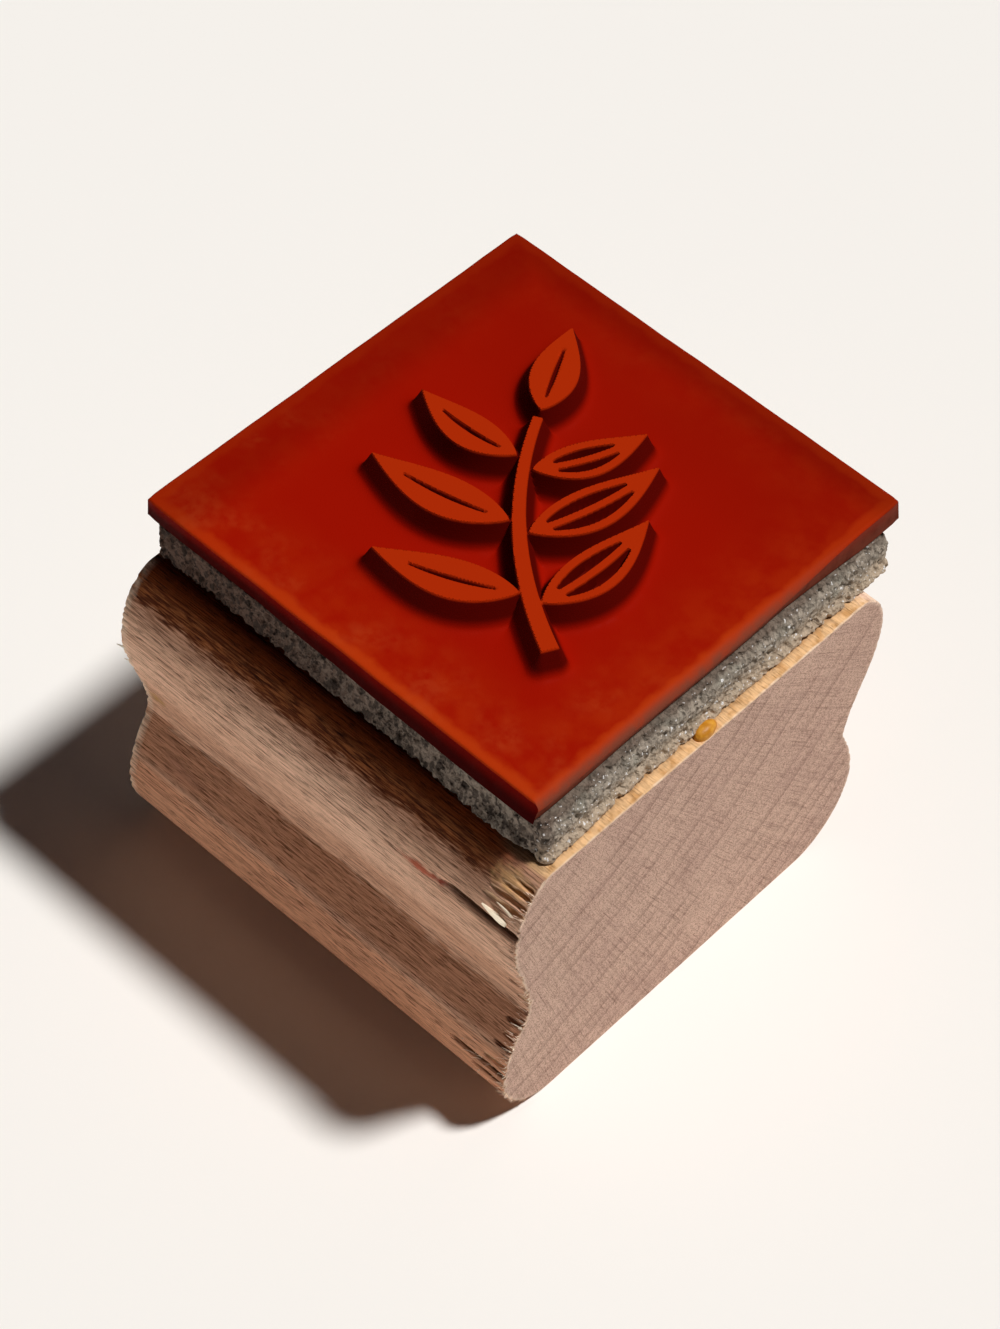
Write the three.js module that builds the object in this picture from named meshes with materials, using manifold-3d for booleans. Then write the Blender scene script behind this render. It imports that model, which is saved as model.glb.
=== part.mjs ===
// A wood mounted rubber stamp, lying on its handle face with the rubber die up.
// Millimetres, +Z up. X runs along the grain, Y runs across the moulded profile.
// The origin is the middle of the block's flat handle face.
import * as THREE from 'three';
import { mergeVertices } from 'three/addons/utils/BufferGeometryUtils.js';
import Module from 'manifold-3d';

const wasm = await Module();
wasm.setup();

// Vertices closer than this are one vertex
const weldDistance = 1e-4;

// Wood block, a length of moulding: a flat seat, a round shoulder, a finger cove,
// a flared lobe and a round toe, the same on both sides
const blockLength = 33.7;
const blockWidth = 34.4;
const blockHeight = 25.4;
const shoulderRun = 3.0;
const shoulderDrop = 5.0;
const coveDepth = 2.0;
const flareRise = 5.7;
const lobeInset = 0.2;
const toeRun = 4.8;
const toeRise = 5.6;
const profileSteps = 12;

// Foam cushion, set by hand: a bare wood strip at the +X end, close to the seat's -Y edge
const cushionLength = 32.7;
const cushionWidth = 32.0;
const cushionThickness = 2.8;
const bareStrip = 1.1;
const seatEdgeMargin = 0.2;

// Adhesive films on both faces of the cushion, and a drop of glue on the bare strip
const filmThickness = 0.15;
const filmInset = 0.15;
const dropLength = 1.6;
const dropHeight = 0.6;
const dropClearance = 0.1;
const dropOffset = -0.2;
const dropSides = 20;
const dropRings = 6;

// Rubber die, stuck on a little back from the cushion's +X edge and a little turned
const dieLength = 32.8;
const dieWidth = 33.3;
const sheetThickness = 1.65;
const dieSetback = 0.5;
const dieOverhang = 0.1;
const dieTurn = -0.32;

// Relief: flat tops at one height, drafted flanks that run out to the sheet
const reliefHeight = 1.85;
const flankRun = 1.35;
const flankRoot = 0.3;
const grooveWidth = 0.4;
const grooveDepth = 0.5;
const pocketDepth = 0.9;
const pocketRim = 0.5;
const pocketRib = 0.45;

// Sprig laid corner to corner: a bowed stem, leaves in pairs and one at the tip.
// The leaves left of the stem are solid with a cut midrib, those right of it are open outlines.
const sprigTurn = 135;
const stemLength = 18.5;
const stemBow = 1.5;
const stemFootWidth = 1.1;
const stemTipWidth = 0.6;
const stemSteps = 14;
const leafSteps = 12;
const leafFullness = 0.8;
const leafBow = 0.5;
const leafLean = 58;
const leafStalk = 0.7;
const leafPairs = [
  { along: 3.6, length: 9.4, width: 3.1 },
  { along: 9.2, length: 9.8, width: 3.2 },
  { along: 14.4, length: 7.8, width: 2.8 },
];
const pairStagger = 1.0;
const tipLeaf = { length: 7.4, width: 3.0 };
const sprigLength = stemLength + leafStalk + tipLeaf.length;

// Heights of the stack, from the floor up
const foamBottom = blockHeight + filmThickness;
const foamTop = foamBottom + cushionThickness;
const dieBottom = foamTop + filmThickness;
const reliefTop = sheetThickness + reliefHeight;

// Places of the cushion and the die on the block
const seatEdge = blockWidth / 2 - shoulderRun;
const cushionEndX = blockLength / 2 - bareStrip;
const cushionEdgeY = -seatEdge + seatEdgeMargin;
const cushionX = cushionEndX - cushionLength / 2;
const cushionY = cushionEdgeY + cushionWidth / 2;
const dieEndX = cushionEndX - dieSetback;
const dieX = dieEndX - dieLength / 2;
const dieY = cushionEdgeY - dieOverhang + dieWidth / 2;

function material(name, color, roughness) {
  return new THREE.MeshStandardMaterial({ name, color, roughness, metalness: 0 });
}

function piece(name, geometry, finish) {
  const mesh = new THREE.Mesh(geometry, finish);
  mesh.name = name;
  return mesh;
}

// A closed three.js geometry as a solid that can be joined and cut
function solidOf(geometry) {
  const bare = geometry.clone();
  bare.deleteAttribute('normal');
  bare.deleteAttribute('uv');
  const merged = mergeVertices(bare, weldDistance);
  return new wasm.Manifold(new wasm.Mesh({
    numProp: 3,
    vertProperties: new Float32Array(merged.attributes.position.array),
    triVerts: new Uint32Array(merged.index.array),
  }));
}

function geometryOf(solid) {
  const mesh = solid.getMesh();
  const geometry = new THREE.BufferGeometry();
  geometry.setAttribute('position', new THREE.BufferAttribute(mesh.vertProperties, 3));
  geometry.setIndex(new THREE.BufferAttribute(mesh.triVerts, 1));
  geometry.computeVertexNormals();
  return geometry;
}

// A flat rectangular sheet, centred in X and Y, standing on z = 0
function sheet(length, width, thickness) {
  return new THREE.BoxGeometry(length, width, thickness).translate(0, 0, thickness / 2);
}

// Half of the moulding's section as points (half width, height), from the seat to the foot
function halfProfile() {
  const nose = blockWidth / 2;
  const waist = nose - coveDepth;
  const lobe = nose - lobeInset;
  const noseHeight = blockHeight - shoulderDrop;
  const waistHeight = toeRise + flareRise;
  const points = [];
  const sweep = (half, height) => {
    for (let i = 0; i < profileSteps; i += 1) {
      const t = i / profileSteps;
      points.push(new THREE.Vector2(half(t), height(t)));
    }
  };
  const quarter = Math.PI / 2;
  // Shoulder: a quarter ellipse from the seat out to the nose
  sweep(
    (t) => nose - shoulderRun * (1 - Math.sin(quarter * t)),
    (t) => noseHeight + shoulderDrop * Math.cos(quarter * t),
  );
  // Cove: half a cosine wave from the nose in to the waist
  sweep(
    (t) => waist + coveDepth * (1 + Math.cos(Math.PI * t)) / 2,
    (t) => noseHeight - (noseHeight - waistHeight) * t,
  );
  // Flare: a quarter sine wave from the waist's crease out to the lobe
  sweep(
    (t) => waist + (lobe - waist) * Math.sin(quarter * t),
    (t) => waistHeight - flareRise * t,
  );
  // Toe: a quarter ellipse from the lobe in to the handle face
  sweep(
    (t) => lobe - toeRun * (1 - Math.cos(quarter * t)),
    (t) => toeRise * (1 - Math.sin(quarter * t)),
  );
  points.push(new THREE.Vector2(lobe - toeRun, 0));
  return points;
}

function woodBlock() {
  const half = halfProfile();
  const mirrored = half.map((point) => new THREE.Vector2(-point.x, point.y)).reverse();
  const section = new THREE.Shape([...half, ...mirrored]);
  const moulding = new THREE.ExtrudeGeometry(section, { depth: blockLength, bevelEnabled: false });
  // The section's plane becomes YZ and the extrusion runs along X
  moulding.rotateX(Math.PI / 2).rotateZ(Math.PI / 2);
  return moulding.translate(-blockLength / 2, 0, 0);
}

// A low dome with a flat foot, longer across the strip's length than over its width
function glueDrop() {
  const width = bareStrip - 2 * dropClearance;
  const dome = [];
  for (let i = 0; i <= dropRings; i += 1) {
    const angle = (Math.PI / 2) * (i / dropRings);
    dome.push(new THREE.Vector2(Math.cos(angle), Math.sin(angle)));
  }
  dome[dropRings].x = 0;
  const outline = [new THREE.Vector2(0, 0), ...dome];
  return new THREE.LatheGeometry(outline, dropSides)
    .rotateX(Math.PI / 2)
    .scale(width / 2, dropLength / 2, dropHeight);
}

// A relief element: flat on top, its flank running outwards and down into the sheet
function relief(shape) {
  const drop = reliefHeight + flankRoot;
  const foot = flankRun * (drop / reliefHeight);
  const drafted = new THREE.ExtrudeGeometry(shape, {
    depth: flankRoot,
    bevelThickness: drop,
    bevelSize: foot,
    bevelSegments: 1,
  });
  drafted.translate(0, 0, reliefTop - flankRoot - drop);
  return solidOf(drafted).trimByPlane([0, 0, 1], sheetThickness - flankRoot);
}

// A straight-sided cut into the relief's flat top
function cut(shape, depth) {
  const slot = new THREE.ExtrudeGeometry(shape, { depth: 2 * depth, bevelEnabled: false });
  return solidOf(slot.translate(0, 0, reliefTop - depth));
}

// A point of a leaf that lies along +X: t runs from base to tip, the midrib bows sideways
// and the half width is a sine wave, fuller near the base. edge says how far from the midrib.
function leafPoint({ length, bow }, t, edge) {
  return new THREE.Vector2(length * t, bow * 4 * t * (1 - t) + edge);
}

function leafHalfWidth(width, t) {
  return (width / 2) * Math.sin(Math.PI * t ** leafFullness);
}

function leafShape(leaf, width) {
  const points = [leafPoint(leaf, 0, 0)];
  for (let i = 1; i < leafSteps; i += 1) {
    points.push(leafPoint(leaf, i / leafSteps, -leafHalfWidth(width, i / leafSteps)));
  }
  points.push(leafPoint(leaf, 1, 0));
  for (let i = leafSteps - 1; i > 0; i -= 1) {
    points.push(leafPoint(leaf, i / leafSteps, leafHalfWidth(width, i / leafSteps)));
  }
  return new THREE.Shape(points);
}

// The hollow between the rim and the rib of an open leaf, on one side of its midrib
function pocketShape(leaf, side) {
  const rim = [];
  const rib = [];
  const steps = 2 * leafSteps;
  for (let i = 1; i < steps; i += 1) {
    const t = i / steps;
    const edge = leafHalfWidth(leaf.width, t) - pocketRim;
    if (edge > pocketRib) {
      rim.push(leafPoint(leaf, t, side * edge));
      rib.push(leafPoint(leaf, t, side * pocketRib / 2));
    }
  }
  return new THREE.Shape([...rim, ...rib.reverse()]);
}

// A shape's points moved along X, turned and set down at a point
function placed(shape, forward, angle, at) {
  const points = shape.getPoints().map((point) => {
    const moved = new THREE.Vector2(point.x + forward, point.y);
    return moved.rotateAround(new THREE.Vector2(), angle).add(at);
  });
  return new THREE.Shape(points);
}

// The stem's middle line: a parabola that bows sideways, with its slope
function stemPoint(along) {
  const t = along / stemLength;
  const side = stemBow * 4 * t * (1 - t);
  const slope = (stemBow * 4 * (1 - 2 * t)) / stemLength;
  return { at: new THREE.Vector2(along, side), angle: Math.atan(slope) };
}

function stemShape() {
  const left = [];
  const right = [];
  for (let i = 0; i <= stemSteps; i += 1) {
    const t = i / stemSteps;
    const { at, angle } = stemPoint(stemLength * t);
    const half = THREE.MathUtils.lerp(stemFootWidth, stemTipWidth, t) / 2;
    const normal = new THREE.Vector2(-Math.sin(angle), Math.cos(angle)).multiplyScalar(half);
    left.push(at.clone().add(normal));
    right.push(at.clone().sub(normal));
  }
  return new THREE.Shape([...right, ...left.reverse()]);
}

// The sprig's leaves: place and heading of each base, its size, and whether it is open
function leaves() {
  const lean = THREE.MathUtils.degToRad(leafLean);
  const list = leafPairs.flatMap(({ along, length, width }) => [1, -1].map((side) => {
    const { at, angle } = stemPoint(along + side * pairStagger / 2);
    const heading = angle + side * lean;
    return { at, heading, length, width, bow: side * leafBow, open: side < 0 };
  }));
  const tip = stemPoint(stemLength);
  list.push({ at: tip.at, heading: tip.angle, ...tipLeaf, bow: 0, open: false });
  return list;
}

function rubberDie() {
  const turn = THREE.MathUtils.degToRad(sprigTurn);
  const start = new THREE.Vector2(-sprigLength / 2, -stemBow / 2);
  const laid = (shape) => placed(placed(shape, 0, 0, start), 0, turn, new THREE.Vector2());
  const onStem = (shape, { heading, at }) => laid(placed(shape, leafStalk, heading, at));
  let solid = solidOf(sheet(dieLength, dieWidth, sheetThickness));
  solid = solid.add(relief(laid(stemShape())));
  for (const leaf of leaves()) {
    solid = solid.add(relief(onStem(leafShape(leaf, leaf.width), leaf)));
  }
  for (const leaf of leaves()) {
    if (leaf.open) {
      for (const side of [1, -1]) {
        solid = solid.subtract(cut(onStem(pocketShape(leaf, side), leaf), pocketDepth));
      }
    } else {
      solid = solid.subtract(cut(onStem(leafShape(leaf, grooveWidth), leaf), grooveDepth));
    }
  }
  return geometryOf(solid);
}

const beech = material('beech', 0xc7a78f, 0.75);
const foam = material('grey_foam', 0x8b8f90, 0.9);
const rubber = material('red_rubber', 0xb8300f, 0.55);
const film = material('adhesive_film', 0xd8cfae, 0.4);
const glue = material('amber_glue', 0xd2962a, 0.25);

const mount = new THREE.Group();
mount.add(piece('wood_block', woodBlock(), beech));

const cushionFilm = piece('cushion_adhesive', sheet(cushionLength, cushionWidth, filmThickness), film);
cushionFilm.position.set(cushionX, cushionY, blockHeight);
mount.add(cushionFilm);

const drop = piece('glue_drop', glueDrop(), glue);
drop.position.set(cushionEndX + bareStrip / 2, dropOffset, blockHeight);
mount.add(drop);

const cushion = piece('foam_cushion', sheet(cushionLength, cushionWidth, cushionThickness), foam);
cushion.position.set(cushionX, cushionY, foamBottom);
mount.add(cushion);

// The upper film covers the cushion as far as the die does
const dieFilmEndX = Math.min(cushionEndX, dieEndX) - filmInset;
const dieFilmLength = dieFilmEndX - (cushionEndX - cushionLength);
const dieFilm = piece('die_adhesive', sheet(dieFilmLength, cushionWidth, filmThickness), film);
dieFilm.position.set(dieFilmEndX - dieFilmLength / 2, cushionY, foamTop);

const die = new THREE.Group();
die.position.set(dieX, dieY, dieBottom);
die.rotation.z = THREE.MathUtils.degToRad(dieTurn);
die.add(piece('rubber_die', rubberDie(), rubber));

const stamp = new THREE.Group();
stamp.add(mount, dieFilm, die);

export default stamp;
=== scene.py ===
"""Looks of a wood mounted rubber stamp: a grooved beech block, a grey foam cushion and a red rubber die.

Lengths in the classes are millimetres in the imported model's frame, and meshes are written in metres.
+Z runs from the handle face up to the die, X along the grain and Y across the moulded profile.
"""
import logging
import math
from dataclasses import dataclass, field
from enum import Enum, IntEnum

import bpy
import numpy as np
from mathutils import Matrix, Vector


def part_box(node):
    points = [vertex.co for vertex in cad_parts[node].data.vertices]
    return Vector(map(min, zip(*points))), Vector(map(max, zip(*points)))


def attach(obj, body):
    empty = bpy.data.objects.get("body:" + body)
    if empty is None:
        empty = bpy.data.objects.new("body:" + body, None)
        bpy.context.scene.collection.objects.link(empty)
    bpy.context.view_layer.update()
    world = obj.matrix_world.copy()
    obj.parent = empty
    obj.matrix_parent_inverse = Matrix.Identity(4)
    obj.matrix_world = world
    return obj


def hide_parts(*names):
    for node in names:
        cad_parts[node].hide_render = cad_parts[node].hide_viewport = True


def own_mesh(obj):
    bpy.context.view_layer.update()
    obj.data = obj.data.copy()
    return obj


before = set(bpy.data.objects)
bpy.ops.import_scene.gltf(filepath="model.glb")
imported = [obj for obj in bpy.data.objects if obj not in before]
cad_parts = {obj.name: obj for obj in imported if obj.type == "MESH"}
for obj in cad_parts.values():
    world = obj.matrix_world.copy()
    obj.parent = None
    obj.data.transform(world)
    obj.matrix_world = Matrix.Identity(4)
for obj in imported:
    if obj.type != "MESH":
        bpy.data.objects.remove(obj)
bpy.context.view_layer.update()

MM = 0.001
HASH_SPAN = 4294967296
HASH_ODDS = (374761393, 668265263, 2246822519)
HASH_MIXES = ((15, 2246822519), (13, 3266489917))
HASH_LAST_SHIFT = 16
SEED_FACTOR = 3266489917
QUARTER_TURN = 0.5 * np.pi
CORNER_SIGNS = np.array([(1, 1), (-1, 1), (-1, -1), (1, -1)])
MIX_SHARE, MIX_FIRST, MIX_SECOND = 0, 6, 7
MIX_RESULT = 2
log = logging.getLogger("stamp")

Pair = tuple[float, float]
Triple = tuple[float, float, float]
Colour = tuple[float, float, float, float]
Node = bpy.types.Node
NodeTree = bpy.types.NodeTree
Socket = bpy.types.NodeSocket
Material = bpy.types.Material
Object = bpy.types.Object


class Body(Enum):
    """The rigid bodies that pieces ride on."""

    MOUNT = "mount"
    DIE = "die"


class Slot(Enum):
    """The record's material slots."""

    BEECH = "beech"
    FILM = "adhesive_film"
    GLUE = "amber_glue"
    FOAM = "grey_foam"
    RUBBER = "red_rubber"


class Blend(Enum):
    """How a second colour goes onto a first."""

    COVER = "MIX"
    TINT = "MULTIPLY"


class Seed(IntEnum):
    """The noise field that each effect draws from."""

    CHATTER = 11
    FRAY = 23
    CELLS = 31
    CHIPS = 37
    CELL_DEPTH = 47
    VOIDS = 53
    FOAM_KNIFE = 61
    SHEET = 71
    TRIM = 81
    FILM = 91


# Numbers on arrays of points


def lattice_hash(cells: np.ndarray, seed: int) -> np.ndarray:
    """Gives each lattice cell a fixed number from 0 to 1.

    Formula: whole coordinates times large odd numbers are added, then mixed by shifts and products.

    Args:
        cells: Whole coordinates, one row a cell.
        seed: Picks one of many number fields.

    Returns:
        One number a row.
    """
    odd = np.array(HASH_ODDS, np.uint64)[: cells.shape[-1]]
    low = np.uint64(HASH_SPAN - 1)
    mixed = (cells.astype(np.int64).astype(np.uint64) * odd).sum(axis=-1, dtype=np.uint64)
    mixed = (mixed + np.uint64(seed * SEED_FACTOR % HASH_SPAN)) & low
    for shift, factor in HASH_MIXES:
        mixed = ((mixed ^ (mixed >> np.uint64(shift))) * np.uint64(factor)) & low
    return (mixed ^ (mixed >> np.uint64(HASH_LAST_SHIFT))) / float(HASH_SPAN)


def value_noise(points: np.ndarray, seed: int) -> np.ndarray:
    """Smooth noise from 0 to 1 with one bump a unit.

    Formula: the hashes of the cell's corners, blended by 3t^2 - 2t^3 along each axis.

    Args:
        points: Coordinates, one row a point.
        seed: Picks one of many noise fields.

    Returns:
        One number a row.
    """
    base = np.floor(points)
    part = points - base
    ease = part * part * (3.0 - 2.0 * part)
    total = np.zeros(len(points))
    for corner in np.ndindex(*(2,) * points.shape[-1]):
        weight = np.where(np.array(corner) > 0, ease, 1.0 - ease).prod(axis=-1)
        total += weight * lattice_hash(base + np.array(corner), seed)
    return total


def layered_noise(points: np.ndarray, seed: int, layers: int = 3) -> np.ndarray:
    """Noise from 0 to 1 whose layers halve in size and in weight.

    Args:
        points: Coordinates, one row a point.
        seed: Picks one of many noise fields.
        layers: How many layers are added.

    Returns:
        One number a row.
    """
    total = np.zeros(len(points))
    for layer in range(layers):
        total += value_noise(points * 2.0**layer, seed + layer) * 0.5**layer
    return total / (2.0 - 0.5 ** (layers - 1))


def cell_distance(points: np.ndarray, seed: int) -> np.ndarray:
    """Distance to the nearest of one random seed point a unit cell.

    Args:
        points: Plane coordinates, one row a point.
        seed: Picks one of many seed fields.

    Returns:
        One distance a row.
    """
    base = np.floor(points)
    nearest = np.full(len(points), np.inf)
    for step in np.ndindex(3, 3):
        cell = base + np.array(step) - 1
        spot = cell + np.column_stack([lattice_hash(cell, seed), lattice_hash(cell, seed + 1)])
        nearest = np.minimum(nearest, np.linalg.norm(spot - points, axis=1))
    return nearest


def smooth_step(value: np.ndarray, start: float, end: float) -> np.ndarray:
    """Rises from 0 at start to 1 at end as 3t^2 - 2t^3."""
    t = np.clip((value - start) / (end - start), 0.0, 1.0)
    return t * t * (3.0 - 2.0 * t)


def even_line(corners: np.ndarray, count: int) -> np.ndarray:
    """Spreads points evenly along an open line, leaving out its last point.

    Args:
        corners: The line's points, one row each.
        count: How many points to give back.

    Returns:
        The evenly spaced points.
    """
    along = np.concatenate([[0.0], np.cumsum(np.linalg.norm(np.diff(corners, axis=0), axis=1))])
    wanted = np.linspace(0.0, along[-1], count, endpoint=False)
    return np.column_stack([np.interp(wanted, along, corners[:, axis]) for axis in range(2)])


def even_loop(corners: np.ndarray, count: int) -> np.ndarray:
    """Spreads points evenly along a closed outline."""
    return even_line(np.vstack([corners, corners[:1]]), count)


def loop_normals(loop: np.ndarray) -> np.ndarray:
    """Unit normals of a closed outline that runs anticlockwise, pointing out of it."""
    run = np.roll(loop, -1, axis=0) - np.roll(loop, 1, axis=0)
    normal = np.column_stack([run[:, 1], -run[:, 0]])
    return normal / np.linalg.norm(normal, axis=1, keepdims=True)


def outline_distance(points: np.ndarray, outline: np.ndarray) -> tuple[np.ndarray, np.ndarray]:
    """Signed distance to a closed outline, and the nearest point on it.

    Formula: the least distance to each straight side, negative where an odd number of sides is
    crossed by a line to the right.

    Args:
        points: Plane points, one row each.
        outline: The outline's corners, one row each.

    Returns:
        The signed distances and the nearest points.
    """
    start = outline[None]
    side = (np.roll(outline, -1, axis=0) - outline)[None]
    offset = points[:, None] - start
    share = np.clip((offset * side).sum(-1) / (side * side).sum(-1), 0.0, 1.0)
    near = start + share[..., None] * side
    gaps = np.linalg.norm(points[:, None] - near, axis=-1)
    best = gaps.argmin(axis=1)
    rows = np.arange(len(points))
    above = offset[..., 1] >= 0.0
    above_next = np.roll(above, -1, axis=1)
    with np.errstate(divide="ignore", invalid="ignore"):
        cross = offset[..., 0] - offset[..., 1] * side[..., 0] / side[..., 1]
    crossed = ((above != above_next) & (cross < 0.0)).sum(axis=1) % 2 == 1
    return np.where(crossed, -gaps[rows, best], gaps[rows, best]), near[rows, best]


# Meshes


@dataclass
class Surface:
    """Points in millimetres and the faces between them."""

    points: np.ndarray
    faces: list[list[int]]

    def volume(self) -> float:
        """Signed volume: the sum over face fans of a . (b x c) / 6."""
        total = 0.0
        for size in (3, 4):
            rows = np.array([f for f in self.faces if len(f) == size], int)
            for k in range(1, size - 1):
                if len(rows):
                    a, b, c = (self.points[rows[:, i]] for i in (0, k, k + 1))
                    total += float((a * np.cross(b, c)).sum()) / 6.0
        return total

    def outward(self) -> "Surface":
        """The same surface with its faces pointing out."""
        if self.volume() < 0.0:
            self.faces = [face[::-1] for face in self.faces]
        return self


def strip_faces(first: np.ndarray, second: np.ndarray) -> np.ndarray:
    """Quads between two closed rings of vertex numbers of the same count."""
    return np.column_stack([first, np.roll(first, -1), np.roll(second, -1), second])


def fan_faces(ring: np.ndarray, pole: int) -> np.ndarray:
    """Triangles from a closed ring of vertex numbers to one pole."""
    return np.column_stack([ring, np.roll(ring, -1), np.full(len(ring), pole)])


def capped_rings(rings: np.ndarray) -> Surface:
    """Closes a stack of rings with a pole in the middle of the first and the last ring.

    Args:
        rings: Points as (ring, place round the ring, xyz).

    Returns:
        The closed surface.
    """
    count, around = rings.shape[:2]
    numbers = np.arange(count * around).reshape(count, around)
    points = np.vstack([rings.reshape(-1, 3), rings[0].mean(axis=0), rings[-1].mean(axis=0)])
    faces = [strip_faces(numbers[i], numbers[i + 1]).tolist() for i in range(count - 1)]
    faces.append(fan_faces(numbers[0][::-1], count * around).tolist())
    faces.append(fan_faces(numbers[-1], count * around + 1).tolist())
    return Surface(points, [face for group in faces for face in group]).outward()


def joined(parts: list[Surface]) -> Surface:
    """Several closed surfaces as one list of points and faces."""
    points, faces, start = [], [], 0
    for part in parts:
        points.append(part.points)
        faces += [[start + i for i in face] for face in part.faces]
        start += len(part.points)
    return Surface(np.vstack(points), faces)


def make_piece(name: str, surface: Surface, finishes: list[Material], crease: float = 40.0) -> Object:
    """Writes a surface into a mesh object at the origin.

    Args:
        name: The piece's name.
        surface: Points in millimetres and faces.
        finishes: The materials of its slots.
        crease: Edges that turn more than this many degrees stay sharp.

    Returns:
        The new object.
    """
    mesh = bpy.data.meshes.new(name)
    mesh.from_pydata((surface.points * MM).tolist(), [], surface.faces)
    mesh.polygons.foreach_set("use_smooth", np.ones(len(mesh.polygons), bool))
    mesh.set_sharp_from_angle(angle=math.radians(crease))
    for finish in finishes:
        mesh.materials.append(finish)
    mesh.update()
    piece = bpy.data.objects.new(name, mesh)
    bpy.context.collection.objects.link(piece)
    log.info("%s: %d points, %d faces", name, len(surface.points), len(surface.faces))
    return piece


def add_attribute(piece: Object, name: str, values: np.ndarray) -> None:
    """Stores one number a point on a piece's mesh, for its material to read."""
    layer = piece.data.attributes.new(name, "FLOAT", "POINT")
    layer.data.foreach_set("value", np.ascontiguousarray(values, np.float32))


@dataclass
class FittedPiece:
    """A piece that is fitted to the box of the CAD node that it stands for."""

    node: str
    low: np.ndarray = field(init=False, repr=False)
    high: np.ndarray = field(init=False, repr=False)

    def __post_init__(self) -> None:
        """Reads the node's lowest and highest corner, in millimetres."""
        self.low, self.high = (np.array(corner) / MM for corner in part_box(self.node))

    @property
    def middle(self) -> np.ndarray:
        """The middle of the box."""
        return (self.low + self.high) / 2.0

    @property
    def half(self) -> np.ndarray:
        """Half the box's size along each axis."""
        return (self.high - self.low) / 2.0


# Material nodes


class NodeBook:
    """Adds nodes to one tree and links them in short calls."""

    def __init__(self, tree: NodeTree) -> None:
        """Keeps the tree that the nodes go into."""
        self.tree = tree

    def add(self, kind: str, inputs: dict | None = None, **settings: object) -> Node:
        """Adds one node.

        Args:
            kind: The node's type name.
            inputs: Values or sockets by input name or number.
            settings: The node's own properties.

        Returns:
            The node.
        """
        node = self.tree.nodes.new(kind)
        for key, value in settings.items():
            setattr(node, key, value)
        for key, value in (inputs or {}).items():
            self.feed(node.inputs[key], value)
        return node

    def feed(self, socket: Socket, value: object) -> None:
        """Links a socket to an input, or sets the input's own value."""
        if isinstance(value, Socket):
            self.tree.links.new(value, socket)
        else:
            socket.default_value = value

    def math(self, operation: str, first: object, second: object = 0.0) -> Socket:
        """The result of one Math node."""
        return self.add("ShaderNodeMath", {0: first, 1: second}, operation=operation).outputs[0]

    def times(self, first: object, second: object) -> Socket:
        """The product of two numbers."""
        return self.math("MULTIPLY", first, second)

    def plus(self, first: object, second: object) -> Socket:
        """The sum of two numbers."""
        return self.math("ADD", first, second)

    def attribute(self, name: str) -> Socket:
        """A number that the piece's mesh holds at each point."""
        return self.add("ShaderNodeAttribute", attribute_name=name).outputs["Fac"]

    def vector_math(self, operation: str, first: Socket, second: object) -> Socket:
        """The vector that one Vector Math node gives."""
        return self.add("ShaderNodeVectorMath", {0: first, 1: second}, operation=operation).outputs[0]

    def scaled(self, vector: Socket, factor: object) -> Socket:
        """A vector times one number."""
        return self.add("ShaderNodeVectorMath", {0: vector, "Scale": factor}, operation="SCALE").outputs[0]

    def vector(self, x: object, y: object, z: object) -> Socket:
        """Three numbers as one vector."""
        return self.add("ShaderNodeCombineXYZ", {"X": x, "Y": y, "Z": z}).outputs[0]

    def parts(self, vector: Socket) -> tuple[Socket, ...]:
        """A vector's three numbers."""
        return tuple(self.add("ShaderNodeSeparateXYZ", {"Vector": vector}).outputs)

    def noise(self, vector: Socket, scale: float, detail: float = 3.0) -> Socket:
        """A noise texture's factor, from 0 to 1."""
        settings = {"Vector": vector, "Scale": scale, "Detail": detail}
        return self.add("ShaderNodeTexNoise", settings).outputs["Fac"]

    def span(self, value: object, start: float, end: float, low: float = 0.0, high: float = 1.0) -> Socket:
        """Maps start..end smoothly to low..high and holds the ends."""
        settings = {"Value": value, "From Min": start, "From Max": end, "To Min": low, "To Max": high}
        node = self.add("ShaderNodeMapRange", settings, interpolation_type="SMOOTHSTEP")
        return node.outputs["Result"]

    def mix(self, share: object, first: object, second: object, blend: Blend = Blend.COVER) -> Socket:
        """Lays a second colour over a first by a share, or tints the first by it."""
        inputs = {MIX_SHARE: share, MIX_FIRST: first, MIX_SECOND: second}
        node = self.add("ShaderNodeMix", inputs, data_type="RGBA", blend_type=blend.value)
        return node.outputs[MIX_RESULT]

    def group(self, tree: NodeTree, inputs: dict) -> Node:
        """Places a node group with its own values."""
        return self.add("ShaderNodeGroup", inputs, node_tree=tree)


def new_group(name: str, inputs: list[tuple], outputs: list[str]) -> tuple[NodeBook, Node, Node]:
    """Makes an empty shader node group.

    Args:
        name: The group's name.
        inputs: Name and socket type of each input, and a default for a number.
        outputs: Names of the number outputs.

    Returns:
        The group's node book, its input node and its output node.
    """
    tree = bpy.data.node_groups.new(name, "ShaderNodeTree")
    for label, kind, *default in inputs:
        socket = tree.interface.new_socket(name=label, in_out="INPUT", socket_type=kind)
        if default:
            socket.default_value = default[0]
    for label in outputs:
        tree.interface.new_socket(name=label, in_out="OUTPUT", socket_type="NodeSocketFloat")
    book = NodeBook(tree)
    return book, book.add("NodeGroupInput"), book.add("NodeGroupOutput")


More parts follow.
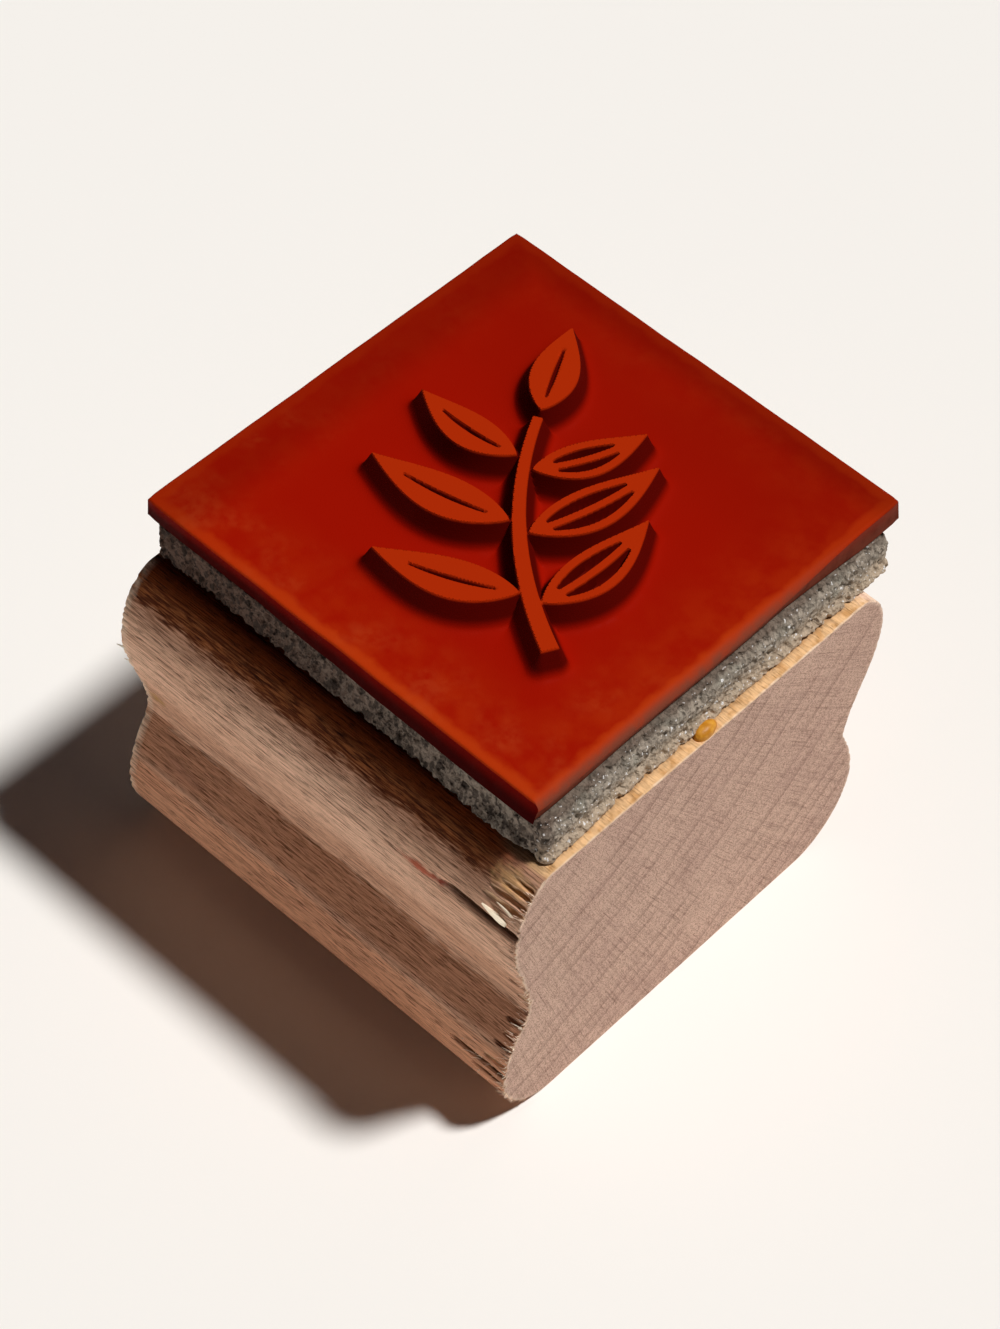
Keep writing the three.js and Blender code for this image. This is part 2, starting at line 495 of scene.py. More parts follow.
@dataclass(frozen=True)
class BeechFigure:
    """Where the block was cut from the log: its pith lies up on the -Y side, rings turn about X."""

    pith_y: float = -33.0
    pith_z: float = 60.0
    ring_width: float = 1.75
    ring_waver: float = 1.4
    ray_width: float = 0.042
    ray_height: float = 1.3
    ray_depth: float = 5.0
    fibre_width: float = 0.10
    fibre_length: float = 6.5
    broad_width: float = 0.22
    broad_length: float = 2.4
    broad_depth: float = 8.0
    waver_stretch: float = 0.03
    waver_scale: float = 0.11
    uneven_scale: float = 0.35
    patch_stretch: float = 0.16
    patch_scale: float = 0.9
    patch_slice: float = 7.0
    patch_span: Pair = (0.35, 0.65)
    faintest_ring: float = 0.12
    ring_steepness: float = 4.0
    ray_span: Pair = (0.58, 0.66)
    broad_span: Pair = (0.5, 0.68)
    blotch_stretch: float = 0.35
    blotch_scale: float = 0.22

    def group(self) -> NodeTree:
        """Builds the solid wood pattern that every cut through the block shares.

        Formula: radius and arc about the pith, in millimetres, with a slow waver. Rings are a steep
        power of the radius' place in its ring, which fades in and out along the arc. Fine and broad rays
        are noise that is thin along the arc, longer along the grain and longest along the radius. Fibres
        are noise drawn out along the grain.

        Returns:
            The node group, with Ring, Ray, Broad, Fibre and Blotch outputs.
        """
        book, given, result = new_group(
            "beech_figure", [("Vector", "NodeSocketVector")], ["Ring", "Ray", "Broad", "Fibre", "Blotch"]
        )
        place = given.outputs["Vector"]
        x, y, z = book.parts(place)
        out_y = book.math("SUBTRACT", y, self.pith_y)
        out_z = book.math("SUBTRACT", self.pith_z, z)
        slow = book.noise(book.vector(book.times(x, self.waver_stretch), y, z), self.waver_scale, 1.0)
        square = book.plus(book.math("POWER", out_y, 2.0), book.math("POWER", out_z, 2.0))
        radius = book.plus(book.math("SQRT", square), book.times(slow, self.ring_waver))
        angle = book.math("ARCTAN2", out_y, out_z)
        arc = book.times(angle, math.hypot(self.pith_y, self.pith_z))
        uneven = book.noise(book.vector(radius, 0.0, 0.0), self.uneven_scale, 2.0)
        counted = book.plus(book.math("DIVIDE", radius, self.ring_width), uneven)
        patch = book.vector(radius, self.patch_slice, book.times(arc, self.patch_stretch))
        patchy = book.noise(patch, self.patch_scale, 2.0)
        strength = book.span(patchy, *self.patch_span, self.faintest_ring, 1.0)
        ring = book.times(book.math("POWER", book.math("FRACT", counted), self.ring_steepness), strength)

        def drawn_out(width: float, length: float, depth: float) -> Socket:
            """Noise with its own size along the arc, the grain and the radius."""
            place_in = [book.math("DIVIDE", *pair) for pair in ((arc, width), (x, length), (radius, depth))]
            return book.noise(book.vector(*place_in), 1.0, 1.5)

        rays = drawn_out(self.ray_width, self.ray_height, self.ray_depth)
        broads = drawn_out(self.broad_width, self.broad_length, self.broad_depth)
        blotched = book.vector(book.times(x, self.blotch_stretch), y, z)
        values = {
            "Ring": ring,
            "Ray": book.span(rays, *self.ray_span),
            "Broad": book.span(broads, *self.broad_span),
            "Fibre": drawn_out(self.fibre_width, self.fibre_length, self.fibre_width),
            "Blotch": book.noise(blotched, self.blotch_scale),
        }
        for label, value in values.items():
            book.feed(result.inputs[label], value)
        return book.tree


def dust_group() -> NodeTree:
    """Patchy handling dust: a broad noise cut by a fine one, scaled by Amount.

    Returns:
        The node group, with one Mask output.
    """
    number = "NodeSocketFloat"
    inputs = [("Vector", "NodeSocketVector"), ("Amount", number, 0.5), ("Scale", number, 0.2)]
    book, given, result = new_group("handling_dust", inputs, ["Mask"])
    place = given.outputs["Vector"]
    broad = book.span(book.noise(book.scaled(place, given.outputs["Scale"]), 1.0), 0.42, 0.72)
    fine = book.span(book.noise(place, 1.6), 0.2, 0.7)
    mask = book.times(book.times(broad, fine), given.outputs["Amount"])
    book.feed(result.inputs["Mask"], mask)
    return book.tree


@dataclass(frozen=True)
class Finish:
    """What every finish has: a name, a roughness, a bump height in millimetres and a specular level."""

    name: str
    roughness: float
    bump: float
    specular: float

    def start(self) -> tuple[Material, NodeBook, Socket]:
        """Opens a new material.

        Returns:
            The material, its node book, and object coordinates in millimetres.
        """
        material = bpy.data.materials.new(self.name)
        material.use_nodes = True
        book = NodeBook(material.node_tree)
        material.node_tree.nodes["Principled BSDF"].inputs["Roughness"].default_value = self.roughness
        place = book.add("ShaderNodeTexCoord").outputs["Object"]
        return material, book, book.scaled(place, 1.0 / MM)

    def dress(self, book: NodeBook, colour: Socket, rough: Socket, height: Socket) -> None:
        """Feeds the material's shader.

        Args:
            book: The material's node book.
            colour: The base colour.
            rough: The roughness.
            height: The bump's height, from 0 to 1.
        """
        shader = book.tree.nodes["Principled BSDF"]
        bump = book.add("ShaderNodeBump", {"Strength": 1.0, "Distance": self.bump * MM, "Height": height})
        book.feed(shader.inputs["Base Color"], colour)
        book.feed(shader.inputs["Roughness"], rough)
        book.feed(shader.inputs["Normal"], bump.outputs["Normal"])
        shader.inputs["Specular IOR Level"].default_value = self.specular


@dataclass(frozen=True)
class BeechFinish(Finish):
    """Bare beech: two colours of plain wood, which flecks and ring lines darken by their own factors."""

    pale: Colour
    tan: Colour
    fleck: Colour
    ring: Colour
    arris: Colour
    fibre_share: float
    ray_share: float
    broad_share: float
    ring_share: float
    arris_share: float

    def under(self, book: NodeBook, place: Socket, colour: Socket) -> Socket:
        """Tones the wood below its figure; a plain cut has no tone of its own."""
        return colour

    def over(self, book: NodeBook, place: Socket, colour: Socket) -> Socket:
        """Lays this cut's own marks over the figured wood; a plain cut has none."""
        return colour

    def material(self, figure: NodeTree) -> Material:
        """Builds the material.

        Args:
            figure: The solid wood pattern.

        Returns:
            The material.
        """
        material, book, place = self.start()
        wood = book.group(figure, {"Vector": place}).outputs
        colour = book.mix(book.span(wood["Blotch"], 0.3, 0.7), self.pale, self.tan)
        colour = self.under(book, place, colour)
        marks = (
            (book.span(wood["Fibre"], 0.42, 0.70, 0.0, self.fibre_share), self.fleck),
            (book.times(wood["Ring"], self.ring_share), self.ring),
            (book.times(wood["Broad"], self.broad_share), self.fleck),
            (book.times(wood["Ray"], self.ray_share), self.fleck),
        )
        for share, factor in marks:
            colour = book.mix(share, colour, factor, Blend.TINT)
        colour = self.over(book, place, colour)
        # Arris tone at the sawn edges and on the small fibres: frayed fibres, partly a painted highlight on
        # the block's edges.
        edge_band = book.attribute("arris")
        patchy = book.times(edge_band, book.span(book.noise(place, 0.9), 0.3, 0.6))
        colour = book.mix(book.times(patchy, self.arris_share), colour, self.arris)
        rough = book.span(wood["Fibre"], 0.3, 0.7, self.roughness - 0.1, self.roughness + 0.1)
        pitted = book.math("SUBTRACT", wood["Fibre"], book.times(wood["Ray"], 0.7))
        self.dress(book, colour, rough, pitted)
        return material


@dataclass(frozen=True)
class MouldedBeech(BeechFinish):
    """The moulded sides: painted shade on the shoulder and round the front's waist, cream on the seat, fresh
    where torn, and stained.
    """

    seat: Colour = (0.93, 0.575, 0.285, 1.0)
    # Painted shade on the shoulder under the foam: a dark band, paler streaks, a lighter edge at the seat and
    # a milder upper part.
    darkest_shade: Colour = (0.085, 0.017, 0.003, 1.0)
    paler: Colour = (0.24, 0.072, 0.020, 1.0)
    shoulder_shade: Colour = (0.36, 0.150, 0.075, 1.0)
    seat_edge: Colour = (0.34, 0.062, 0.010, 1.0)
    # Painted shade round the front's waist.
    waist_shade: Colour = (0.46, 0.180, 0.085, 1.0)
    warm: Colour = (1.05, 0.87, 0.76, 1.0)
    fresh: Colour = (0.90, 0.62, 0.38, 1.0)
    recess_shade: Colour = (0.08, 0.03, 0.014, 1.0)
    residue_and_shade: Colour = (0.36, 0.20, 0.10, 1.0)
    speck: Colour = (0.56, 0.26, 0.07, 1.0)
    soft_rise: Pair = (15.4, 13.8)
    crease_rise: Pair = (11.8, 10.9)
    crease_fade: Pair = (7.4, 8.6)
    lobe_rise: Pair = (8.0, 7.2)
    shoulder_shade_rise: Pair = (21.3, 24.6)
    darkest_shade_rise: Pair = (23.3, 24.15)
    seat_edge_rise: Pair = (24.7, 25.3)
    seat_rise: Pair = (25.15, 25.35)
    front_span: Pair = (6.0, -6.0)
    extent_span: Pair = (16.1, 12.6)
    bare_span: Pair = (15.0, 15.6)
    glue_shade_span: Pair = (12.1, 14.6)
    glue_shade_edge: Pair = (16.9, 16.2)
    fresh_span: Pair = (0.03, 0.2)
    recess_shade_span: Pair = (-0.06, -0.3)
    pore_span: Pair = (0.57, 0.65)
    soft_share: float = 0.3
    waist_shade_share: float = 0.8
    darkest_shade_share: float = 0.97
    pore_share: float = 0.7
    streak: float = 0.28
    short_fibre: Triple = (0.85, 8.0, 8.0)
    pore: Triple = (0.75, 11.5, 11.5)

    def under(self, book: NodeBook, place: Socket, colour: Socket) -> Socket:
        """Paints shade on the shoulder in flecks, less at the sunlit torn end, and paints shade round the
        front's waist.

        Args:
            book: The material's node book.
            place: Coordinates in millimetres.
            colour: The plain wood.

        Returns:
            The toned wood.
        """
        along, across, height = book.parts(place)
        drawn = book.vector_math("MULTIPLY", place, self.short_fibre)
        flecks = book.noise(drawn, 1.0, 2.5)
        broad = book.span(book.noise(place, 0.5), 0.2, 0.8, -0.2, 0.2)
        ragged = book.span(flecks, 0.3, 0.7, -self.streak, self.streak)
        uneven = book.plus(height, book.plus(broad, ragged))
        # Painted shade below the cove and round the waist, strongest on the front side.
        soft = book.span(uneven, *self.soft_rise, 0.0, self.soft_share)
        crease = book.span(uneven, *self.crease_rise, 0.0, self.waist_shade_share)
        below = book.span(height, *self.crease_fade, 0.35, 1.0)
        shade_share = book.math("MAXIMUM", soft, book.times(crease, below))
        front = book.span(across, *self.front_span, 0.25, 1.0)
        lobe = book.span(height, *self.lobe_rise)
        colour = book.mix(book.times(lobe, front), colour, self.warm, Blend.TINT)
        colour = book.mix(book.times(shade_share, front), colour, self.waist_shade)
        # Painted shade on the shoulder under the foam and die, weaker towards the torn end where the sun
        # falls.
        extent = book.span(along, *self.extent_span, 0.3, 1.0)
        shoulder_shade = book.span(uneven, *self.shoulder_shade_rise, 0.0, 0.9)
        colour = book.mix(book.times(shoulder_shade, extent), colour, self.shoulder_shade)
        under_foam_shade = book.mix(book.span(flecks, 0.40, 0.60), self.paler, self.darkest_shade)
        at_seat = book.span(height, *self.seat_edge_rise)
        under_foam_shade = book.mix(at_seat, under_foam_shade, self.seat_edge)
        dark = book.span(uneven, *self.darkest_shade_rise, 0.0, self.darkest_shade_share)
        colour = book.mix(book.times(dark, extent), colour, under_foam_shade)
        thin = book.vector_math("MULTIPLY", place, self.pore)
        pores = book.span(book.noise(thin, 1.0, 1.5), *self.pore_span, 0.0, self.pore_share)
        return book.mix(pores, colour, self.fleck, Blend.TINT)

    def over(self, book: NodeBook, place: Socket, colour: Socket) -> Socket:
        """Lays the bare seat strip with glue left on it and painted shadow by the foam, the stains and the
        tears over the figured wood.

        Args:
            book: The material's node book.
            place: Coordinates in millimetres.
            colour: The figured wood.

        Returns:
            The finished colour.
        """
        along, _, height = book.parts(place)
        on_top = book.span(height, *self.seat_rise, 0.0, 0.9)
        bare = book.times(on_top, book.span(along, *self.bare_span))
        specks = book.span(book.noise(place, 1.1, 4.0), 0.46, 0.68, 0.0, 0.7)
        colour = book.mix(bare, colour, book.mix(specks, self.seat, self.speck))
        # Glue left along the strip's inner edge, darkened also as painted shadow of the foam.
        ragged = book.plus(along, book.times(book.noise(place, 2.4), 0.8))
        glue_and_shade = book.span(ragged, *self.glue_shade_edge, 0.0, 0.8)
        glue_and_shade = book.times(glue_and_shade, book.span(along, *self.glue_shade_span))
        colour = book.mix(book.times(on_top, glue_and_shade), colour, self.residue_and_shade)
        for stain in BLOCK_STAINS:
            colour = stain.over(book, place, colour)
        torn = book.attribute("torn")
        colour = book.mix(book.span(torn, *self.fresh_span, 0.0, 0.85), colour, self.fresh)
        # Painted shade in the deep tears.
        return book.mix(book.span(torn, *self.recess_shade_span, 0.0, 0.9), colour, self.recess_shade)


@dataclass(frozen=True)
class Stain:
    """A soft-edged mark soaked into the wood round one point."""

    centre: Triple
    stretch: Triple
    colour: Colour
    share: float
    fade: Pair = (0.55, 1.25)

    def over(self, book: NodeBook, place: Socket, colour: Socket) -> Socket:
        """Lays the mark over a colour.

        Formula: the distance from the centre, stretched by axis and broken up by noise, fades the mark
        out over fade.

        Args:
            book: The material's node book.
            place: Coordinates in millimetres.
            colour: The colour below.

        Returns:
            The stained colour.
        """
        moved = book.vector_math("SUBTRACT", place, self.centre)
        fitted = book.vector_math("DIVIDE", moved, self.stretch)
        reach = book.add("ShaderNodeVectorMath", {0: fitted}, operation="LENGTH").outputs["Value"]
        broken = book.plus(reach, book.times(book.noise(place, 2.2, 2.0), 0.8))
        return book.mix(book.span(broken, *self.fade, self.share, 0.0), colour, self.colour)


BLOCK_STAINS = (
    Stain((9.1, -17.0, 20.9), (2.5, 1.5, 0.6), (0.50, 0.10, 0.05, 1.0), 0.9),
    Stain((10.7, -17.0, 21.1), (1.1, 1.5, 0.4), (0.30, 0.05, 0.03, 1.0), 0.9),
    Stain((15.3, -15.8, 24.2), (2.4, 2.4, 1.4), (0.70, 0.40, 0.16, 1.0), 0.6),
    Stain((-15.7, -16.0, 13.2), (1.7, 1.5, 1.0), (0.42, 0.23, 0.05, 1.0), 0.85),
    Stain((-12.5, -15.8, 9.0), (3.0, 2.0, 1.0), (0.40, 0.18, 0.12, 1.0), 0.35),
    Stain((15.8, 15.4, 24.4), (3.2, 2.8, 2.0), (0.92, 0.66, 0.48, 1.0), 0.95),
)


@dataclass(frozen=True)
class RubberFinish(Finish):
    """Dry moulded red rubber: deep in the field, paler on the tops and on the rim from handling, with painted
    shade on the relief's flanks and cut walls.
    """

    deep: Colour = (0.245, 0.0047, 0.0003, 1.0)
    ground: Colour = (0.315, 0.0050, 0.0003, 1.0)
    rim: Colour = (0.44, 0.034, 0.003, 1.0)
    top: Colour = (0.41, 0.023, 0.0015, 1.0)
    flank: Colour = (0.10, 0.0022, 0.0006, 1.0)
    wall: Colour = (0.045, 0.0006, 0.0002, 1.0)
    wall_top: Colour = (0.165, 0.0024, 0.0004, 1.0)
    cut_dust_and_shade: Colour = (0.21, 0.050, 0.027, 1.0)
    scuff: Colour = (0.47, 0.060, 0.012, 1.0)
    far_tint: Colour = (0.78, 0.82, 0.80, 1.0)
    rim_span: Pair = (1.65, 0.85)
    worn_span: Pair = (7.0, 0.8)
    wall_rise: Pair = (28.95, 30.0)
    fade: Pair = (22.0, -12.0)
    fade_wander: float = 16.0
    extent_span: Pair = (-16.0, 15.0)
    scuff_span: Pair = (6.0, 1.5)
    scuff_front: Pair = (2.0, -7.0)
    scuff_amount: float = 0.35
    scuff_size: float = 0.3
    far_left_span: Pair = (-12.5, -15.5)
    far_back_span: Pair = (16.0, 18.5)
    flank_span: Pair = (0.06, 0.4)
    top_span: Pair = (0.9, 0.985)
    wall_span: Pair = (-0.15, -0.9)

    def material(self, dust: NodeTree) -> Material:
        """Builds the material, which reads the die's relief, edge and fresh attributes.

        Args:
            dust: The handling dust group.

        Returns:
            The material.
        """
        material, book, place = self.start()
        relief, edge, fresh = (book.attribute(name) for name in ("relief", "edge", "fresh"))
        x, y, z = book.parts(place)
        across = book.math("SUBTRACT", y, book.times(book.noise(place, 0.1, 2.0), self.fade_wander))
        colour = book.mix(book.span(across, *self.fade), self.deep, self.ground)
        ragged = book.plus(edge, book.times(book.noise(place, 0.8), 0.9))
        extent = book.span(book.math("SUBTRACT", x, y), *self.extent_span, 0.25, 0.95)
        mottled = book.span(book.noise(place, 0.55), 0.3, 0.7, 0.05, 0.4)
        edge_band = book.times(mottled, book.span(edge, *self.worn_span))
        paler = book.math("MAXIMUM", edge_band, book.span(ragged, *self.rim_span))
        colour = book.mix(book.times(paler, extent), colour, self.rim)
        scuffing = {"Vector": place, "Amount": self.scuff_amount, "Scale": self.scuff_size}
        scuffs = book.group(dust, scuffing).outputs["Mask"]
        near = book.times(book.span(edge, *self.scuff_span), book.span(y, *self.scuff_front, 0.15, 1.0))
        colour = book.mix(book.times(scuffs, near), colour, self.scuff)
        # Darker towards the far left and back edges.
        far = book.math("MAXIMUM", book.span(x, *self.far_left_span), book.span(y, *self.far_back_span))
        colour = book.mix(far, colour, self.far_tint, Blend.TINT)
        # Painted shade on the relief's flanks.
        colour = book.mix(book.span(relief, *self.flank_span), colour, self.flank)
        colour = book.mix(book.span(relief, *self.top_span), colour, self.top)
        # Painted shade on the cut walls, deepening towards the bottom.
        walls = book.mix(book.span(z, *self.wall_rise), self.wall, self.wall_top)
        colour = book.mix(book.span(relief, *self.wall_span), colour, walls)
        # Dust on the right cut walls, and painted shade on the top's rolled right edge.
        dusty = book.times(fresh, book.span(book.noise(place, 1.1), 0.25, 0.6, 0.6, 1.0))
        colour = book.mix(dusty, colour, self.cut_dust_and_shade)
        rough = book.span(book.noise(place, 1.2), 0.3, 0.7, self.roughness - 0.08, self.roughness + 0.1)
        self.dress(book, colour, rough, book.noise(place, 9.0))
        return material


@dataclass(frozen=True)
class FoamFinish(Finish):
    """Cut grey foam: pale cell walls, painted shade in its cut cells and on its front, painted glints on torn
    skins, and a glue-tan sill with painted bounce light.
    """

    wall: Colour = (0.38, 0.315, 0.25, 1.0)
    shade: Colour = (0.13, 0.105, 0.080, 1.0)
    recess_shade: Colour = (0.035, 0.024, 0.019, 1.0)
    glint: Colour = (0.80, 0.77, 0.74, 1.0)
    tint: Colour = (0.28, 0.27, 0.22, 1.0)
    sill: Colour = (0.56, 0.42, 0.29, 1.0)
    front_shade: Colour = (0.105, 0.048, 0.032, 1.0)
    shaded: Colour = (0.50, 0.45, 0.43, 1.0)
    sill_rise: Pair = (27.45, 25.65)
    shade_rise: Pair = (27.85, 28.31)
    strip_span: Pair = (15.2, 15.6)
    front_face_span: Pair = (-13.3, -13.7)
    front_shade_fade: Pair = (14.0, -12.0)
    glint_span: Pair = (15.1, 15.4)
    recess_shade_span: Pair = (0.55, 0.12)
    tint_amount: float = 0.8
    tint_size: float = 0.5
    glint_roughness: float = 0.25
    cell: float = 0.36
    clump: Triple = (2.8, 2.8, 1.5)

    def material(self, dust: NodeTree) -> Material:
        """Builds the material.

        Args:
            dust: The handling dust group, which tints the foam in patches.

        Returns:
            The material.
        """
        material, book, place = self.start()
        cells = book.add("ShaderNodeTexVoronoi", {"Vector": place, "Scale": 1.0 / self.cell})
        recess_shade = book.span(cells.outputs["Distance"], *self.recess_shade_span)
        grain = book.noise(place, 2.7)
        along, across, height = book.parts(place)
        front = book.span(across, *self.front_face_span)
        deepest = book.span(front, 0.0, 1.0, 0.55, 0.9)
        depth = book.times(recess_shade, book.times(book.span(grain, 0.42, 0.64), deepest))
        tinting = {"Vector": place, "Amount": self.tint_amount, "Scale": self.tint_size}
        tinted = book.group(dust, tinting).outputs["Mask"]
        colour = book.mix(tinted, self.wall, self.tint)
        upright = book.vector_math("MULTIPLY", place, self.clump)
        clumps = book.span(book.noise(upright, 1.0, 2.5), 0.44, 0.64, 0.0, 0.6)
        colour = book.mix(clumps, colour, self.shade)
        # Painted shade on the front side, deeper towards its far end under the die's overhang, and in blots.
        front_blots = book.times(front, book.span(book.noise(upright, 0.8, 2.0), 0.50, 0.60, 0.0, 0.75))
        shade_share = book.times(front, book.span(along, *self.front_shade_fade, 0.3, 0.85))
        colour = book.mix(shade_share, colour, self.front_shade)
        colour = book.mix(front_blots, colour, self.recess_shade)
        # Glue-tan sill at the foot of the right face, partly painted bounce light from the bare strip below.
        low = book.span(height, *self.sill_rise, 0.0, 0.7)
        at_strip = book.times(low, book.span(along, *self.strip_span))
        colour = book.mix(at_strip, colour, self.sill)
        under_die = book.span(height, *self.shade_rise)
        colour = book.mix(under_die, colour, self.shaded, Blend.TINT)
        # Painted shade in the cut cells, deeper on the front side.
        colour = book.mix(depth, colour, self.recess_shade)
        # Painted highlight: pale glint specks on the sunlit right face, with lower roughness.
        torn = book.span(book.noise(place, 4.1, 1.0), 0.66, 0.72)
        shine = book.times(torn, book.span(along, *self.glint_span))
        colour = book.mix(shine, colour, self.glint)
        relief = book.math("SUBTRACT", book.span(grain, 0.3, 0.7), depth)
        self.dress(book, colour, book.span(shine, 0.0, 1.0, self.roughness, self.glint_roughness), relief)
        return material


@dataclass(frozen=True)
class GlueFinish(Finish):
    """Hardened amber glue, a little cloudy inside."""

    clear: Colour = (0.52, 0.20, 0.010, 1.0)
    cloudy: Colour = (0.74, 0.34, 0.035, 1.0)
    cloudy_roughness: float = 0.6

    def material(self) -> Material:
        """Builds the material.

        Returns:
            The material.
        """
        material, book, place = self.start()
        cloud = book.span(book.noise(place, 1.6), 0.35, 0.7)
        rough = book.span(cloud, 0.0, 1.0, self.roughness, self.cloudy_roughness)
        self.dress(book, book.mix(cloud, self.clear, self.cloudy), rough, book.noise(place, 3.0, 2.0))
        return material


@dataclass(frozen=True)
class FilmFinish(Finish):
    """A clear adhesive film that has picked up dust at its edge."""

    clean: Colour = (0.12, 0.07, 0.04, 1.0)
    dusty: Colour = (0.18, 0.14, 0.11, 1.0)
    dusty_roughness: float = 0.8
    dust_amount: float = 1.0
    dust_size: float = 1.4

    def material(self, dust: NodeTree) -> Material:
        """Builds the material.

        Args:
            dust: The handling dust group.

        Returns:
            The material.
        """
        material, book, place = self.start()
        dusting = {"Vector": place, "Amount": self.dust_amount, "Scale": self.dust_size}
        mask = book.group(dust, dusting).outputs["Mask"]
        rough = book.span(mask, 0.0, 1.0, self.roughness, self.dusty_roughness)
        self.dress(book, book.mix(mask, self.clean, self.dusty), rough, book.noise(place, 4.0, 2.0))
        return material


# The wood block


@dataclass(frozen=True)
class Gouge:
    """A tear in the -Y side that opens towards the +X end; tone 1 is fresh wood and -1 a deep tear painted
    dark as shade.
    """

    start: float
    height: float
    half_width: float
    depth: float
    tone: float = 1.0
    edge_left: float = 0.2
    edge_span: Pair = (0.05, 0.4)
    wander: float = 0.5
    ragged: Pair = (0.7, 1.3)

    def cut(self, x: np.ndarray, z: np.ndarray, end: float) -> np.ndarray:
        """How deep the tear is at each point.

        Formula: depth times a ramp from its start towards the end of the block, where a thin edge is
        left standing, times a steep bell across it whose middle wanders.

        Args:
            x: Places along the grain.
            z: Heights.
            end: The block's end.

        Returns:
            Depths in millimetres.
        """
        ramp = np.sqrt(np.clip((x - self.start) / (end - self.start), 0.0, 1.0))
        ramp *= self.edge_left + (1.0 - self.edge_left) * smooth_step(end - x, *self.edge_span)
        seed = int(self.height * 10)
        wander = self.wander * self.half_width * (value_noise(np.column_stack([x * 1.1]), seed) - 0.5)
        least, most = self.ragged
        ragged = least + (most - least) * value_noise(np.column_stack([x * 3.0, z * 6.0]), seed + 1)
        bell = np.exp(-(np.abs((z - self.height - wander) / self.half_width) ** 3))
        return self.depth * ramp * bell * ragged


@dataclass
class BeechBlock(FittedPiece):
    """The grooved block: a length of moulding, square sawn at both ends and torn at one edge."""

    node: str = "wood_block"
    shoulder_run: float = 3.0
    shoulder_drop: float = 5.0
    cove_depth: float = 2.0
    flare_rise: float = 5.7
    lobe_inset: float = 0.2
    toe_run: float = 4.8
    toe_rise: float = 5.6
    torn_count: int = 430
    plain_count: int = 190
    face_count: int = 40
    coarse_step: float = 0.7
    fine_step: float = 0.12
    fine_reach: float = 5.2
    chatter: float = 0.03
    edge_fray: float = 0.16
    fray_reach: float = 1.3
    edge_chip: float = 0.10
    least_chip: float = 0.02
    chatter_scale: Pair = (0.12, 0.9)
    chatter_apart: float = 40.0
    tuft_scale: Pair = (0.5, 3.2)
    tuft_apart: Pair = (9.0, 70.0)
    back_fray: float = 0.5
    chip_scale: float = 1.7
    patch_span: Pair = (0.45, 0.8)
    seat_clear: Pair = (0.02, 0.7)
    foot_clear: Pair = (0.02, 0.6)
    torn_side: float = -10.0
    sawn_turn: float = 0.9
    curve_count: int = 80
    cap_rings: tuple[float, ...] = (0.08, 0.25, 0.5, 0.72, 0.87, 0.95, 0.985, 0.997)
    gouges: tuple[Gouge, ...] = (
        Gouge(10.6, 21.15, 0.30, 0.85, -1.0),
        Gouge(13.6, 22.9, 0.20, 0.45),
        Gouge(13.9, 23.5, 0.16, 0.50),
        Gouge(14.4, 24.1, 0.15, 0.45),
        Gouge(14.8, 24.6, 0.13, 0.35),
        Gouge(15.4, 18.6, 0.13, 0.35, -1.0),
        Gouge(15.6, 16.5, 0.14, 0.40, -1.0),
        Gouge(15.2, 13.9, 0.20, 0.70, -1.0),
        Gouge(15.9, 12.4, 0.22, 0.45),
        Gouge(15.5, 10.2, 0.14, 0.50, -1.0),
        Gouge(15.7, 9.1, 0.12, 0.40),
        Gouge(15.3, 8.2, 0.12, 0.50, -1.0),
        Gouge(12.2, 5.8, 0.22, 0.85, -1.0),
        Gouge(14.0, 4.8, 0.18, 0.70, -1.0),
        Gouge(14.8, 6.7, 0.15, 0.45),
        Gouge(15.0, 3.6, 0.15, 0.50, -1.0),
        Gouge(15.6, 2.4, 0.12, 0.35),
    )

    def half_section(self) -> np.ndarray:
        """Half of the moulding's section, from the seat's edge down to the foot's edge.

        Formula: a quarter ellipse out to the nose, half a cosine wave in to the waist, a quarter sine
        wave out to the lobe and a quarter ellipse in to the handle face.

        Returns:
            Points as (half width, height).
        """
        nose = self.high[1]
        waist = nose - self.cove_depth
        lobe = nose - self.lobe_inset
        nose_height = self.high[2] - self.shoulder_drop
        waist_height = self.toe_rise + self.flare_rise
        t = np.linspace(0.0, 1.0, self.curve_count, endpoint=False)
        turn = QUARTER_TURN * t
        halves = [
            nose - self.shoulder_run * (1.0 - np.sin(turn)),
            waist + self.cove_depth * (1.0 + np.cos(np.pi * t)) / 2.0,
            waist + (lobe - waist) * np.sin(turn),
            lobe - self.toe_run * (1.0 - np.cos(turn)),
        ]
        heights = [
            nose_height + self.shoulder_drop * np.cos(turn),
            nose_height + (waist_height - nose_height) * t,
            waist_height - self.flare_rise * t,
            self.toe_rise * (1.0 - np.sin(turn)),
        ]
        foot = [lobe - self.toe_run, 0.0]
        return np.vstack([np.column_stack([np.concatenate(halves), np.concatenate(heights)]), foot])

    def section(self) -> np.ndarray:
        """The whole section, anticlockwise as seen from +X, with its points closest on the torn -Y side.

        Returns:
            Points as (y, z).
        """
        half = self.half_section()
        mirrored = half * np.array([-1.0, 1.0])
        foot = np.vstack([mirrored[-1], half[-1]])
        seat = np.vstack([half[0], mirrored[0]])
        return np.vstack(
            [
                even_line(mirrored, self.torn_count),
                even_line(foot, self.face_count),
                even_line(half[::-1], self.plain_count),
                even_line(seat, self.face_count),
            ]
        )

    def stations(self) -> np.ndarray:
        """Places along the grain, close together near the torn +X end.

        Returns:
            The places, from -X to +X.
        """
        bend = self.high[0] - self.fine_reach
        plain = np.arange(self.low[0], bend, self.coarse_step)
        torn = np.linspace(bend, self.high[0], int(self.fine_reach / self.fine_step))
        return np.concatenate([plain, torn])

